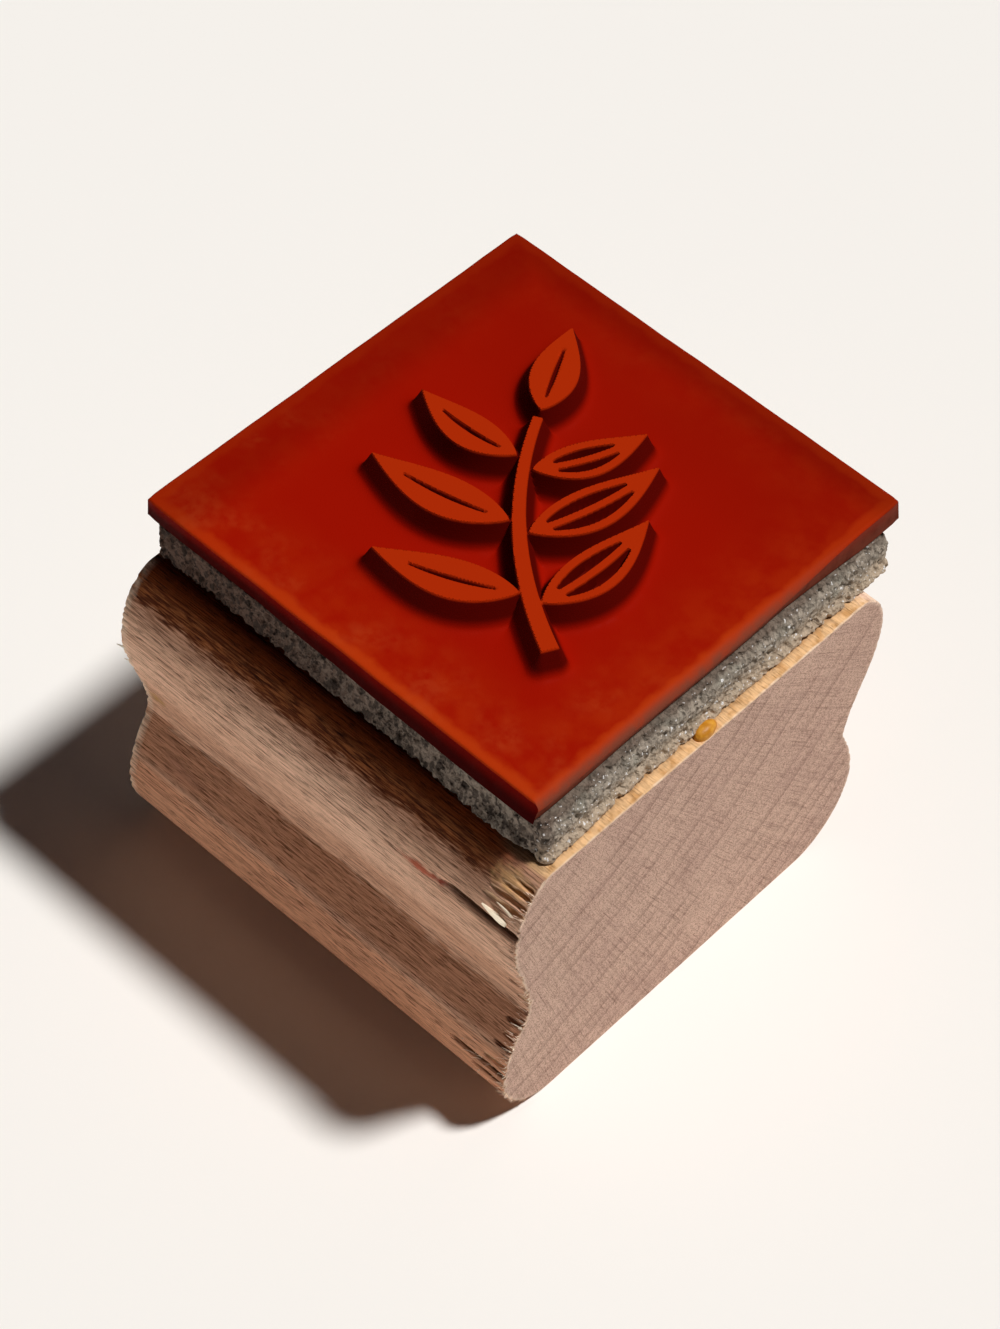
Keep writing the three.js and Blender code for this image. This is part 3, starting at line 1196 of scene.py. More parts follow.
    def worn_depth(self, x: np.ndarray, loop: np.ndarray) -> np.ndarray:
        """How far the surface lies below the clean moulding.

        Formula: slow tool chatter, plus fraying at both ends that grows towards the edge, plus the
        tears. Nothing is taken off the seat and the handle face.

        Args:
            x: Places along the grain.
            loop: The section's points.

        Returns:
            Depths as (place along the grain, place round the section).
        """
        grid_x, number = np.meshgrid(x, np.arange(len(loop)), indexing="ij")
        flat_x = grid_x.ravel()
        y, z = loop[number.ravel()].T
        grain, across = self.chatter_scale
        side = np.column_stack([flat_x * grain, z * across + np.sign(y) * self.chatter_apart])
        depth = self.chatter * layered_noise(side, Seed.CHATTER)
        to_end = np.minimum(flat_x - self.low[0], self.high[0] - flat_x)
        near = smooth_step(to_end, self.fray_reach, 0.0)
        grain, across = self.tuft_scale
        by_end, by_side = np.sign(np.column_stack([flat_x, y])).T * np.array(self.tuft_apart)[:, None]
        tufts = np.column_stack([z * across + by_side, by_end + flat_x * grain])
        fray = self.edge_fray * near**2 * smooth_step(layered_noise(tufts, Seed.FRAY), *self.patch_span)
        depth += fray * np.where(y < 0.0, 1.0, self.back_fray)
        depth += np.abs(self.tears(flat_x, y, z)).sum(axis=0)
        clear = smooth_step(self.high[2] - z, *self.seat_clear) * smooth_step(z, *self.foot_clear)
        return (depth * clear).reshape(grid_x.shape)

    def tears(self, x: np.ndarray, y: np.ndarray, z: np.ndarray) -> np.ndarray:
        """Depth times tone of every gouge on the -Y side, one row a gouge."""
        depth = np.stack([gouge.tone * gouge.cut(x, z, self.high[0]) for gouge in self.gouges])
        return np.where(y < self.torn_side, depth, 0.0)

    def chips(self, loop: np.ndarray) -> np.ndarray:
        """How far the sawn edge is chipped back: a hair everywhere, more in patches of noise."""
        patches = smooth_step(layered_noise(loop * self.chip_scale, Seed.CHIPS), *self.patch_span)
        return self.least_chip + self.edge_chip * patches

    def rings(self) -> np.ndarray:
        """The whole surface: rings out over the -X end, along the grain and in over the +X end.

        Returns:
            Points as (ring, place round the section, xyz).
        """
        loop = self.section()
        x = self.stations()
        inward = -loop_normals(loop)
        sides = loop[None] + self.worn_depth(x, loop)[..., None] * inward[None]
        middle = np.array([0.0, self.high[2] / 2.0])
        shares = np.array(self.cap_rings)[:, None, None]
        first = middle + shares * (sides[0] - middle)
        last = middle + shares[::-1] * (sides[-1] - middle)
        flat = np.concatenate([first, sides, last])
        along = np.concatenate([np.full(len(shares), x[0]), x, np.full(len(shares), x[-1])])
        spread = np.repeat(along[:, None], len(loop), axis=1)
        chipped = self.chips(loop)
        spread[len(shares)] += chipped
        spread[-1 - len(shares)] -= chipped
        return np.concatenate([spread[..., None], flat], axis=2)

    def arris(self, count: int) -> np.ndarray:
        """Marks the two rings at each sawn edge.

        Args:
            count: How many points the block has.

        Returns:
            1 on those rings and 0 elsewhere.
        """
        around = 2 * self.face_count + self.torn_count + self.plain_count
        rings = np.zeros((count // around, around))
        for ring in (len(self.cap_rings) - 1, len(self.cap_rings)):
            rings[ring] = 1.0
            rings[-1 - ring] = 1.0
        return np.append(rings.ravel(), np.zeros(count - rings.size))

    def build(self, long_grain: Material, end_grain: Material) -> Object:
        """Makes the block, with end grain on the two sawn faces.

        Args:
            long_grain: Finish of the moulded sides.
            end_grain: Finish of the sawn ends.

        Returns:
            The piece.
        """
        surface = capped_rings(self.rings())
        piece = make_piece("beech_block", surface, [long_grain, end_grain])
        normals = np.empty(3 * len(piece.data.polygons))
        piece.data.polygons.foreach_get("normal", normals)
        sawn = np.abs(normals.reshape(-1, 3)[:, 0]) > self.sawn_turn
        piece.data.polygons.foreach_set("material_index", sawn.astype(np.int32))
        x, y, z = surface.points.T
        add_attribute(piece, "torn", self.tears(x, y, z).sum(axis=0))
        add_attribute(piece, "arris", self.arris(len(x)))
        return piece


@dataclass(frozen=True)
class Sliver:
    """A sliver of wood: its root, its straight reach, the bend of its tip and its flat oval section."""

    root: np.ndarray | Triple
    run: np.ndarray | Triple
    lift: np.ndarray | Triple
    width: float
    flat: float
    sides: int = 5
    steps: int = 7
    tip: float = 0.97
    foot_share: float = 0.6
    foot_reach: float = 0.2

    def surface(self) -> Surface:
        """A flat oval section that tapers to a point along a bent line.

        Formula: the line is root + t run + t^2 lift. The section's radius is width times the root of
        1 - t, with a short round start.

        Returns:
            The closed surface.
        """
        root, run, lift = (np.asarray(vector, float) for vector in (self.root, self.run, self.lift))
        t = np.linspace(0.0, self.tip, self.steps)[:, None]
        line = root + t * run + t**2 * lift
        swell = self.foot_share + (1.0 - self.foot_share) * np.minimum(1.0, t / self.foot_reach)
        radius = self.width * np.sqrt(1.0 - t) * swell
        ahead = run / np.linalg.norm(run)
        up = lift - ahead * (lift @ ahead)
        up = up / np.linalg.norm(up)
        across = np.cross(ahead, up)
        turn = np.linspace(0.0, 2.0 * np.pi, self.sides, endpoint=False)
        oval = np.cos(turn)[:, None] * across + self.flat * np.sin(turn)[:, None] * up
        return capped_rings(line[:, None] + radius[..., None] * oval[None])


def drawn_vector(rng: np.random.Generator, spans: tuple[Pair, ...]) -> np.ndarray:
    """One even draw from each span, in order."""
    return np.array([rng.uniform(*span) for span in spans])


@dataclass
class TornFibres:
    """Slivers of wood that stand up along the torn edge of the +X end, and a few large ones."""

    block: BeechBlock
    count: int = 120
    seed: int = 7
    edge_side: float = -12.5
    edge_heights: Pair = (0.8, 24.6)
    thick_below: float = 15.5
    thin_share: float = 0.35
    end_inset: float = 0.03
    sink: float = 0.12
    fibre_flat: float = 0.6
    stray: float = 0.12
    lying_lengths: Pair = (0.25, 0.95)
    lying_rises: Pair = (0.02, 0.2)
    lying_bends: Pair = (0.03, 0.22)
    lying_widths: Pair = (0.018, 0.05)
    bend_stray: float = 0.08
    standing_lengths: Pair = (0.14, 0.28)
    standing_sways: Pair = (-0.2, 0.05)
    standing_bends: Pair = (-0.15, 0.05)
    standing_widths: Pair = (0.02, 0.055)
    tip_stray: float = 0.1
    tip_lift: float = 0.01
    curl_count: int = 30
    curl_places: tuple[Pair, ...] = ((13.4, 16.7), (3.4, 7.0))
    curl_runs: tuple[Pair, ...] = ((-1.1, -0.3), (-0.22, -0.02), (-0.2, 0.3))
    curl_lifts: tuple[Pair, ...] = ((0.1, 0.6), (-0.3, -0.05), (-0.1, 0.35))
    curl_widths: Pair = (0.02, 0.05)
    curl_flat: float = 0.7
    curl_sink: float = 0.14
    large: tuple[Sliver, ...] = (
        Sliver((15.9, -17.12, 21.85), (-1.95, -0.14, 0.45), (0.1, -0.10, 0.3), 0.27, 0.7),
        Sliver((16.35, -16.85, 22.45), (-1.5, 0.12, 0.55), (0.0, -0.22, 0.1), 0.14, 0.5),
        Sliver((-16.5, -17.0, 19.0), (-0.75, -0.12, 0.1), (0.0, -0.15, 0.05), 0.11, 0.5),
        Sliver((-16.55, -16.5, 17.2), (-0.7, -0.05, -0.1), (0.0, -0.12, 0.02), 0.09, 0.5),
    )

    def lying(self, rng: np.random.Generator, root: np.ndarray, out: np.ndarray) -> Sliver:
        """A short fibre that lies back along the grain and lifts a little off the wood.

        Args:
            rng: The draws.
            root: Where it leaves the wood.
            out: The way out of the wood.

        Returns:
            The sliver.
        """
        length = rng.uniform(*self.lying_lengths)
        run = np.array([-length, 0.0, 0.0]) + out * rng.uniform(*self.lying_rises) * length
        run[2] += rng.normal(0.0, self.stray) * length
        lift = out * rng.uniform(*self.lying_bends) + np.array([0.0, 0.0, rng.normal(0.0, self.bend_stray)])
        return Sliver(root, run, lift, rng.uniform(*self.lying_widths), self.fibre_flat)

    def standing(self, rng: np.random.Generator, root: np.ndarray, out: np.ndarray) -> Sliver:
        """A shorter fibre that stands out of the wood.

        Args:
            rng: The draws.
            root: Where it leaves the wood.
            out: The way out of the wood.

        Returns:
            The sliver.
        """
        reach = out * rng.uniform(*self.standing_lengths)
        run = reach + np.array([rng.uniform(*self.standing_sways), 0.0, rng.normal(0.0, self.stray)])
        bend = np.array([rng.uniform(*self.standing_bends), 0.0, rng.normal(0.0, self.tip_stray)])
        lift = bend + out * self.tip_lift
        return Sliver(root, run, lift, rng.uniform(*self.standing_widths), self.fibre_flat)

    def fringe(self) -> list[Sliver]:
        """Short fibres along the edge, in twos: one lies back along the grain and one stands out.

        Returns:
            The slivers.
        """
        rng = np.random.default_rng(self.seed)
        loop = self.block.section()
        normal = loop_normals(loop)
        lowest, highest = self.edge_heights
        y, z = loop.T
        torn = np.flatnonzero((y < self.edge_side) & (z > lowest) & (z < highest))
        bias = np.where(z[torn] < self.thick_below, 1.0, self.thin_share)
        slivers = []
        for pick in rng.choice(torn, self.count, p=bias / bias.sum()):
            out = np.append(0.0, normal[pick])
            root = np.append(self.block.high[0] - self.end_inset, loop[pick] - self.sink * normal[pick])
            slivers += [self.lying(rng, root, out), self.standing(rng, root, out)]
        return slivers

    def curls(self) -> list[Sliver]:
        """Curled fibres that hang in the low tear, each bent well away from the wood.

        Returns:
            The slivers.
        """
        rng = np.random.default_rng(self.seed + 1)
        half = self.block.half_section()
        slivers = []
        for _ in range(self.curl_count):
            x, z = drawn_vector(rng, self.curl_places)
            reach = np.interp(z, half[::-1, 1], half[::-1, 0])
            root = np.array([x, self.curl_sink - reach, z])
            run = drawn_vector(rng, self.curl_runs)
            lift = drawn_vector(rng, self.curl_lifts)
            slivers.append(Sliver(root, run, lift, rng.uniform(*self.curl_widths), self.curl_flat))
        return slivers

    def build(self, finish: Material) -> Object:
        """Makes all slivers as one piece, with the small ones marked for the edge's warmer tone.

        Args:
            finish: The fresh wood.

        Returns:
            The piece.
        """
        small = joined([sliver.surface() for sliver in self.fringe() + self.curls()])
        large = joined([sliver.surface() for sliver in self.large])
        piece = make_piece("torn_fibres", joined([small, large]), [finish])
        add_attribute(piece, "arris", np.repeat([1.0, 0.0], [len(small.points), len(large.points)]))
        return piece


# The foam cushion and its glue


@dataclass
class FoamCushion(FittedPiece):
    """The foam sheet, with cut-open cells on its four edges."""

    node: str = "foam_cushion"
    corner: float = 0.35
    around: int = 1700
    rows: int = 34
    cell: float = 0.33
    pit: float = 0.16
    void_cell: float = 1.15
    void_pit: float = 0.25
    waver: float = 0.14
    right_spring: float = 0.12
    far_spring: float = -0.15
    back_spring: float = -0.28
    front_spring: float = 0.30
    lip: float = 0.34
    front_lips: tuple[Pair, ...] = (
        (-12.0, 0.0),
        (-4.0, 0.22),
        (7.0, 0.22),
        (11.0, 0.44),
        (13.2, 0.40),
        (15.2, 0.08),
    )
    front_lip_rise: Pair = (1.3, 0.1)
    corner_spring: float = 0.26
    undercut: float = 0.07
    crown: float = 0.42
    cell_reach: float = 0.62
    void_reach: float = 0.30
    patch_size: float = 0.9
    patch_span: Pair = (0.35, 0.7)
    shallow: float = 0.35
    waver_scale: Pair = (0.35, 0.25)
    front_span: Pair = (1.0, 11.0)
    corner_span: Pair = (-7.0, -13.0)
    undercut_rise: Pair = (0.45, 0.0)
    lip_rise: Pair = (0.9, 0.1)
    crown_drop: Pair = (0.9, 0.0)
    crown_power: float = 1.5
    cap_rings: tuple[float, ...] = (0.1, 0.45, 0.8, 0.96)

    def outline(self) -> np.ndarray:
        """A rectangle with small round corners, as an anticlockwise loop of (x, y).

        Returns:
            Evenly spaced points.
        """
        middle, half = self.middle[:2], self.half[:2] - self.corner
        quarter = np.linspace(0.0, QUARTER_TURN, 6)
        arcs = []
        for k, signs in enumerate(CORNER_SIGNS):
            turn = quarter + k * QUARTER_TURN
            arcs.append(middle + half * signs + self.corner * np.column_stack([np.cos(turn), np.sin(turn)]))
        return even_loop(np.vstack(arcs), self.around)

    def pits(self, wall: np.ndarray) -> np.ndarray:
        """How deep the cut cells and the knife's waver lie at places on the wall.

        Formula: a bowl for each cut cell, deeper in patches of noise, larger bowls for a few big cells
        and a slow waver.

        Args:
            wall: Places as (distance along the outline, height).

        Returns:
            Depths in millimetres.
        """
        near = cell_distance(wall / self.cell, Seed.CELLS) / self.cell_reach
        cells = self.pit * np.clip(1.0 - near**2, 0.0, 1.0)
        some = smooth_step(value_noise(wall / self.patch_size, Seed.CELL_DEPTH), *self.patch_span)
        wide = cell_distance(wall / self.void_cell, Seed.VOIDS) / self.void_reach
        voids = self.void_pit * np.clip(1.0 - wide**2, 0.0, 1.0)
        knife = self.waver * layered_noise(wall * np.array(self.waver_scale), Seed.FOAM_KNIFE)
        return cells * (self.shallow + (1.0 - self.shallow) * some) + voids + knife

    def trimmed(self, loop: np.ndarray, normal: np.ndarray, height: np.ndarray) -> np.ndarray:
        """How far the plain wall is drawn in, as the sheet was cut and as it springs.

        Formula: each side springs by its own amount, and both sides that meet in the front right corner
        spring out towards it. On the right side the lower edge has a lip and the upper edge leans in to
        the die, on the front the lower edge has a lip that grows to the right, and the others are
        undercut below.

        Args:
            loop: The outline.
            normal: Its normals.
            height: Heights as (row, place round the outline).

        Returns:
            Depths as (row, place round the outline).
        """
        right, back = np.clip(normal, 0.0, 1.0).T
        far, front = np.clip(-normal, 0.0, 1.0).T
        rise, drop = height - self.low[2], self.high[2] - height
        spring = self.front_spring * front * smooth_step(loop[:, 0], *self.front_span)
        spring += self.right_spring * right + self.far_spring * far + self.back_spring * back
        spring += self.corner_spring * right * smooth_step(loop[:, 1], *self.corner_span)
        depth = self.undercut * np.maximum(1.0 - right - front, 0.0) * smooth_step(rise, *self.undercut_rise)
        front_lip = np.interp(loop[:, 0], *np.array(self.front_lips).T)
        depth -= front_lip * front * smooth_step(rise, *self.front_lip_rise)
        depth -= self.lip * right * smooth_step(rise, *self.lip_rise)
        depth += self.crown * right * smooth_step(drop, *self.crown_drop) ** self.crown_power
        return depth - spring

    def rings(self) -> np.ndarray:
        """The whole surface from the middle of the underside to the middle of the top.

        Formula: the outline at each height, drawn in along its normals by the pits and the trim.

        Returns:
            Points as (ring, place round the outline, xyz).
        """
        loop = self.outline()
        normal = loop_normals(loop)
        along = np.arange(self.around) * np.linalg.norm(loop[1] - loop[0])
        heights = np.linspace(self.low[2], self.high[2], self.rows)
        grid_z, grid_s = np.meshgrid(heights, along, indexing="ij")
        pits = self.pits(np.column_stack([grid_s.ravel(), grid_z.ravel()])).reshape(grid_z.shape)
        drawn_in = pits + self.trimmed(loop, normal, grid_z)
        flat = loop[None] - drawn_in[..., None] * normal[None]
        sides = np.concatenate([flat, grid_z[..., None]], axis=2)
        middle = np.append(self.middle[:2], 0.0)
        level = np.array([0.0, 0.0, 1.0])
        shares = np.array(self.cap_rings)[:, None, None]
        pull = 1.0 - (1.0 - shares) * (1.0 - level)
        first = sides[0] * pull + middle * (1.0 - pull)
        last = sides[-1] * pull[::-1] + middle * (1.0 - pull[::-1])
        return np.concatenate([first, sides, last])

    def build(self, finish: Material) -> Object:
        """Makes the cushion."""
        return make_piece("cut_foam", capped_rings(self.rings()), [finish], crease=70.0)


@dataclass
class AdhesiveFilm(FittedPiece):
    """A clear film between two layers, drawn back from their edges so that a dark joint shows."""

    inset: float = 0.35
    waver: float = 0.25
    waver_scale: float = 0.6
    around: int = 240

    def rings(self) -> np.ndarray:
        """The film's lower and upper edge: a rectangle whose sides wander inwards.

        Returns:
            Points as (ring, place round the film, xyz).
        """
        loop = even_loop(self.middle[:2] + (self.half[:2] - self.inset) * CORNER_SIGNS, self.around)
        loop -= self.waver * layered_noise(loop * self.waver_scale, Seed.FILM)[:, None] * loop_normals(loop)
        levels = (self.low[2], self.high[2])
        return np.stack([np.column_stack([loop, np.full(self.around, z)]) for z in levels])

    def build(self, name: str, finish: Material) -> Object:
        """Makes the film."""
        return make_piece(name, capped_rings(self.rings()), [finish])


@dataclass
class GlueDrop(FittedPiece):
    """The hardened drop on the bare strip: a low dome with a lip that has run a little."""

    node: str = "glue_drop"
    around: int = 72
    levels: int = 18
    run: float = 0.16
    swell: float = 1.3
    top: float = 0.97
    fullness: float = 0.8

    def rings(self) -> np.ndarray:
        """The dome from its foot to its top.

        Formula: radius falls as the cosine of the climb, with two and three slow waves round the foot
        that fade towards the top.

        Returns:
            Points as (ring, place round the drop, xyz).
        """
        middle = self.middle
        half = self.half * np.array([self.swell, self.swell, 1.0])
        turn = np.linspace(0.0, 2.0 * np.pi, self.around, endpoint=False)[None]
        climb = np.linspace(0.0, QUARTER_TURN * self.top, self.levels)[:, None]
        waves = 1.0 - self.run * np.cos(climb) * (0.5 + 0.3 * np.sin(2 * turn + 0.6) + 0.2 * np.sin(3 * turn))
        radius = np.cos(climb) ** self.fullness * waves
        x = middle[0] + half[0] * radius * np.cos(turn)
        y = middle[1] + half[1] * radius * np.sin(turn)
        z = self.low[2] + 2.0 * half[2] * np.sin(climb) * np.ones_like(turn)
        return np.stack([x, y, z], axis=2)

    def build(self, finish: Material) -> Object:
        """Makes the drop."""
        return make_piece("amber_drop", capped_rings(self.rings()), [finish], crease=60.0)


# The rubber die


@dataclass(frozen=True)
class Leaf:
    """One leaf of the sprig: where its base is, where it points, and its size."""

    base: Pair
    heading: float
    length: float
    width: float
    bow: float
    is_open: bool


@dataclass
class Sprig:
    """The raised design: a bowed stem with leaves in pairs, solid on its left and open on its right."""

    turn: float = 135.0
    stem_length: float = 18.5
    stem_bow: float = 1.5
    stem_foot: float = 1.1
    stem_tip: float = 0.6
    fullness: float = 0.8
    leaf_bow: float = 0.5
    lean: float = 58.0
    stalk: float = 0.7
    stagger: float = 1.0
    pairs: tuple[Triple, ...] = ((3.6, 9.4, 3.1), (9.2, 9.8, 3.2), (14.4, 7.8, 2.8))
    tip: Pair = (7.4, 3.0)
    groove: float = 0.4
    rim: float = 0.5
    rib: float = 0.45
    finest: float = 0.12
    points: int = 40

    def stem_point(self, along: np.ndarray) -> tuple[np.ndarray, np.ndarray]:
        """The stem's middle line, a parabola that bows sideways, and its angle.

        Args:
            along: Distances from the stem's foot.

        Returns:
            Points and angles.
        """
        t = np.asarray(along, float) / self.stem_length
        side = self.stem_bow * 4.0 * t * (1.0 - t)
        slope = self.stem_bow * 4.0 * (1.0 - 2.0 * t) / self.stem_length
        return np.stack([t * self.stem_length, side], axis=-1), np.arctan(slope)

    def laid(self, points: np.ndarray) -> np.ndarray:
        """Moves sprig points so that the sprig lies corner to corner about the die's middle."""
        length = self.stem_length + self.stalk + self.tip[0]
        centred = points - np.array([length / 2.0, self.stem_bow / 2.0])
        return turned(centred, math.radians(self.turn))

    def stem(self) -> np.ndarray:
        """The stem's outline.

        Returns:
            Plane points.
        """
        t = np.linspace(0.0, 1.0, self.points)
        middle, angle = self.stem_point(t * self.stem_length)
        half = ((self.stem_foot + (self.stem_tip - self.stem_foot) * t) / 2.0)[:, None]
        normal = np.column_stack([-np.sin(angle), np.cos(angle)])
        return self.laid(np.vstack([middle - half * normal, (middle + half * normal)[::-1]]))

    def leaves(self) -> list[Leaf]:
        """All leaves, in pairs along the stem and one at its tip.

        Returns:
            The leaves, from the stem's foot to its tip.
        """
        found = []
        for along, length, width in self.pairs:
            for side in (1.0, -1.0):
                base, angle = self.stem_point(along + side * self.stagger / 2.0)
                heading = float(angle) + side * math.radians(self.lean)
                found.append(Leaf(tuple(base), heading, length, width, side * self.leaf_bow, side < 0.0))
        base, angle = self.stem_point(self.stem_length)
        found.append(Leaf(tuple(base), float(angle), *self.tip, 0.0, False))
        return found

    def on_stem(self, leaf: Leaf, t: np.ndarray, edge: np.ndarray) -> np.ndarray:
        """Points of a leaf in the die's plane.

        Args:
            leaf: The leaf.
            t: Place from base to tip, 0 to 1.
            edge: Distance beside the midrib.

        Returns:
            Plane points.
        """
        own = np.column_stack([leaf.length * t + self.stalk, leaf.bow * 4.0 * t * (1.0 - t) + edge])
        return self.laid(turned(own, leaf.heading) + np.array(leaf.base))

    def half_width(self, width: float, t: np.ndarray) -> np.ndarray:
        """A leaf's half width: a sine wave, fuller near the base."""
        return width / 2.0 * np.sin(np.pi * t**self.fullness)

    def blade(self, leaf: Leaf) -> np.ndarray:
        """A leaf's outline.

        Args:
            leaf: The leaf.

        Returns:
            Plane points.
        """
        t = np.linspace(0.0, 1.0, self.points)
        half = self.half_width(leaf.width, t)
        there = self.on_stem(leaf, t, -half)
        back = self.on_stem(leaf, t[-2:0:-1], half[-2:0:-1])
        return np.vstack([there, back])

    def midrib(self, leaf: Leaf) -> np.ndarray:
        """The outline of a solid leaf's midrib groove, blunt where it would be too fine to mould.

        Args:
            leaf: The leaf.

        Returns:
            Plane points.
        """
        t = np.linspace(0.0, 1.0, 2 * self.points)
        half = self.half_width(self.groove, t)
        wide = half > self.finest
        there = self.on_stem(leaf, t[wide], -half[wide])
        back = self.on_stem(leaf, t[wide][::-1], half[wide][::-1])
        return np.vstack([there, back])

    def pocket(self, leaf: Leaf, side: float) -> np.ndarray:
        """The hollow between the rim and the rib of an open leaf, on one side of its midrib.

        Args:
            leaf: The leaf.
            side: 1 or -1, the side of the midrib.

        Returns:
            Plane points.
        """
        t = np.linspace(0.0, 1.0, 2 * self.points)
        edge = self.half_width(leaf.width, t) - self.rim
        wide = edge > self.rib
        rim = self.on_stem(leaf, t[wide], side * edge[wide])
        rib = self.on_stem(leaf, t[wide], np.full(wide.sum(), side * self.rib / 2.0))
        return np.vstack([rim, rib[::-1]])


def turned(points: np.ndarray, angle: float) -> np.ndarray:
    """Plane points turned about the origin."""
    c, s = math.cos(angle), math.sin(angle)
    return points @ np.array([[c, s], [-s, c]])


@dataclass
class RubberDie(FittedPiece):
    """The moulded rubber sheet with its raised sprig, trimmed by hand on four sides."""

    node: str = "rubber_die"
    length: float = 32.8
    width: float = 33.3
    thickness: float = 1.65
    turn: float = -0.32
    flank_slope: float = 2.6
    flank_reach: float = 3.0
    fillet: float = 0.7
    groove_depth: float = 0.5
    pocket_depth: float = 0.9
    cut_wall: float = 0.26
    fine_half: float = 14.6
    fine_step: float = 0.103
    coarse_step: float = 0.5
    edge_round: float = 0.16
    right_round: float = 0.7
    edge_waver: float = 0.08
    corner_blunt: float = 0.05
    sheet_waver: float = 0.05
    sheet_scale: float = 0.18
    sheet_relief: float = 0.3
    trim_scale: float = 0.3
    trim_apart: float = 5.0
    trim_reach: float = 2.5
    corner_reach: float = 0.7
    rolled_shade_reach: float = 0.7
    rolled_shade_power: float = 1.5
    touch: float = 1e-6
    rim_steps: tuple[float, ...] = (0.0, 0.04, 0.09, 0.16, 0.26, 0.38, 0.52, 0.7, 0.9)
    rim_gap: float = 0.2
    wall_shares: tuple[float, ...] = (0.04, 0.12, 0.26, 0.44, 0.64, 0.84, 1.0)
    wall_lean: float = 0.10
    right_leans: tuple[Pair, ...] = ((-12.5, -0.2), (-7.5, -0.3), (6.0, -0.3), (13.0, 0.2))
    sharp_span: Pair = (2.5, 13.5)
    sharp_draw: float = 0.22
    sharp_fresh: float = 0.4
    front_lean: float = 0.13
    front_lean_growth: float = 0.0215
    front_lean_range: Pair = (-0.05, 0.34)
    sprig: Sprig = field(default_factory=Sprig)

    @property
    def reach(self) -> np.ndarray:
        """Half the sheet's length and width."""
        return np.array([self.length, self.width]) / 2.0

    @property
    def relief(self) -> float:
        """Height of the relief's tops above the sheet."""
        return float(self.high[2] - self.low[2]) - self.thickness

    def axis(self, side: float) -> np.ndarray:
        """Grid places across one side: fine under the sprig and at the edges, coarse between.

        Args:
            side: The side's length.

        Returns:
            Places from its middle, rising.
        """
        half = side / 2.0
        rim = half - np.array(self.rim_steps)
        plain = np.arange(self.fine_half + self.coarse_step, rim[-1] - self.rim_gap, self.coarse_step)
        fine = np.linspace(0.0, self.fine_half, int(self.fine_half / self.fine_step))
        upper = np.concatenate([fine, plain, rim[::-1]])
        return np.concatenate([-upper[:0:-1], upper])

    def outlines(self) -> tuple[list[np.ndarray], list[tuple[np.ndarray, float]]]:
        """The raised outlines, and the cut outlines with their depths.

        Returns:
            Both lists.
        """
        raised = [self.sprig.stem()]
        cuts = []
        for leaf in self.sprig.leaves():
            raised.append(self.sprig.blade(leaf))
            if leaf.is_open:
                cuts += [(self.sprig.pocket(leaf, side), self.pocket_depth) for side in (1.0, -1.0)]
            else:
                cuts.append((self.sprig.midrib(leaf), self.groove_depth))
        return raised, cuts

    def snapped(self, points: np.ndarray, outlines: list[np.ndarray]) -> np.ndarray:
        """Moves grid points that lie within half a step of an outline onto it, so that edges run clean.

        Args:
            points: Plane points.
            outlines: The outlines.

        Returns:
            The moved points.
        """
        reach = 0.5 * self.fine_step
        nearest = np.full(len(points), reach)
        moved = points.copy()
        for outline in outlines:
            near = np.flatnonzero(within(points, outline, reach))
            gap, spot = outline_distance(points[near], outline)
            closer = np.abs(gap) < nearest[near]
            nearest[near[closer]] = np.abs(gap[closer])
            moved[near[closer]] = spot[closer]
        return moved

    def heights(
        self, points: np.ndarray, raised: list[np.ndarray], cuts: list[tuple[np.ndarray, float]]
    ) -> np.ndarray:
        """Relief height at each point.

        Formula: h is the highest of relief - slope x distance over all raised outlines. It is blended
        into the sheet by (h + root(h^2 + fillet^2)) / 2, scaled to keep the tops' height, and each cut's
        depth is taken off inside its outline.

        Args:
            points: Plane points.
            raised: Outlines of the flat tops.
            cuts: Outlines and depths of the cuts.

        Returns:
            Heights above the sheet.
        """
        height = np.full(len(points), self.relief - self.flank_slope * self.flank_reach)
        for outline in raised:
            near = np.flatnonzero(within(points, outline, self.flank_reach))
            gap, _ = outline_distance(points[near], outline)
            flank = self.relief - self.flank_slope * np.maximum(gap, 0.0)
            height[near] = np.maximum(height[near], flank)
        height = height + np.sqrt(height**2 + self.fillet**2)
        level = height.min()
        height = (height - level) * self.relief / (height.max() - level)
        for outline, depth in cuts:
            near = np.flatnonzero(within(points, outline, 0.0))
            gap, _ = outline_distance(points[near], outline)
            height[near] -= depth * smooth_step(-gap, 0.0, self.cut_wall)
        return np.minimum(height, self.relief)

    def rolled(self, edge: np.ndarray, radius: float | np.ndarray) -> np.ndarray:
        """How far a quarter round at the edge lets the top down, at each distance from the edge."""
        return radius - np.sqrt(np.maximum(radius**2 - np.maximum(radius - edge, 0.0) ** 2, 0.0))

    def lean(self, rim: np.ndarray, out: np.ndarray) -> np.ndarray:
        """How far each rim point's wall moves out towards the underside, as the knife was held.

        Formula: a fixed lean on the far sides, one that grows along the front, and one that runs from
        place to place along the right side.

        Args:
            rim: Plane places of the rim points.
            out: Signs of the sides that each point lies on.

        Returns:
            Plane moves.
        """
        right = np.interp(rim[:, 1], *np.array(self.right_leans).T)
        sideways = np.where(out[:, 0] > 0.0, right, self.wall_lean)
        front = np.clip(self.front_lean + self.front_lean_growth * rim[:, 0], *self.front_lean_range)
        lengthways = np.where(out[:, 1] < 0.0, front, self.wall_lean)
        return np.column_stack([sideways, lengthways]) * out

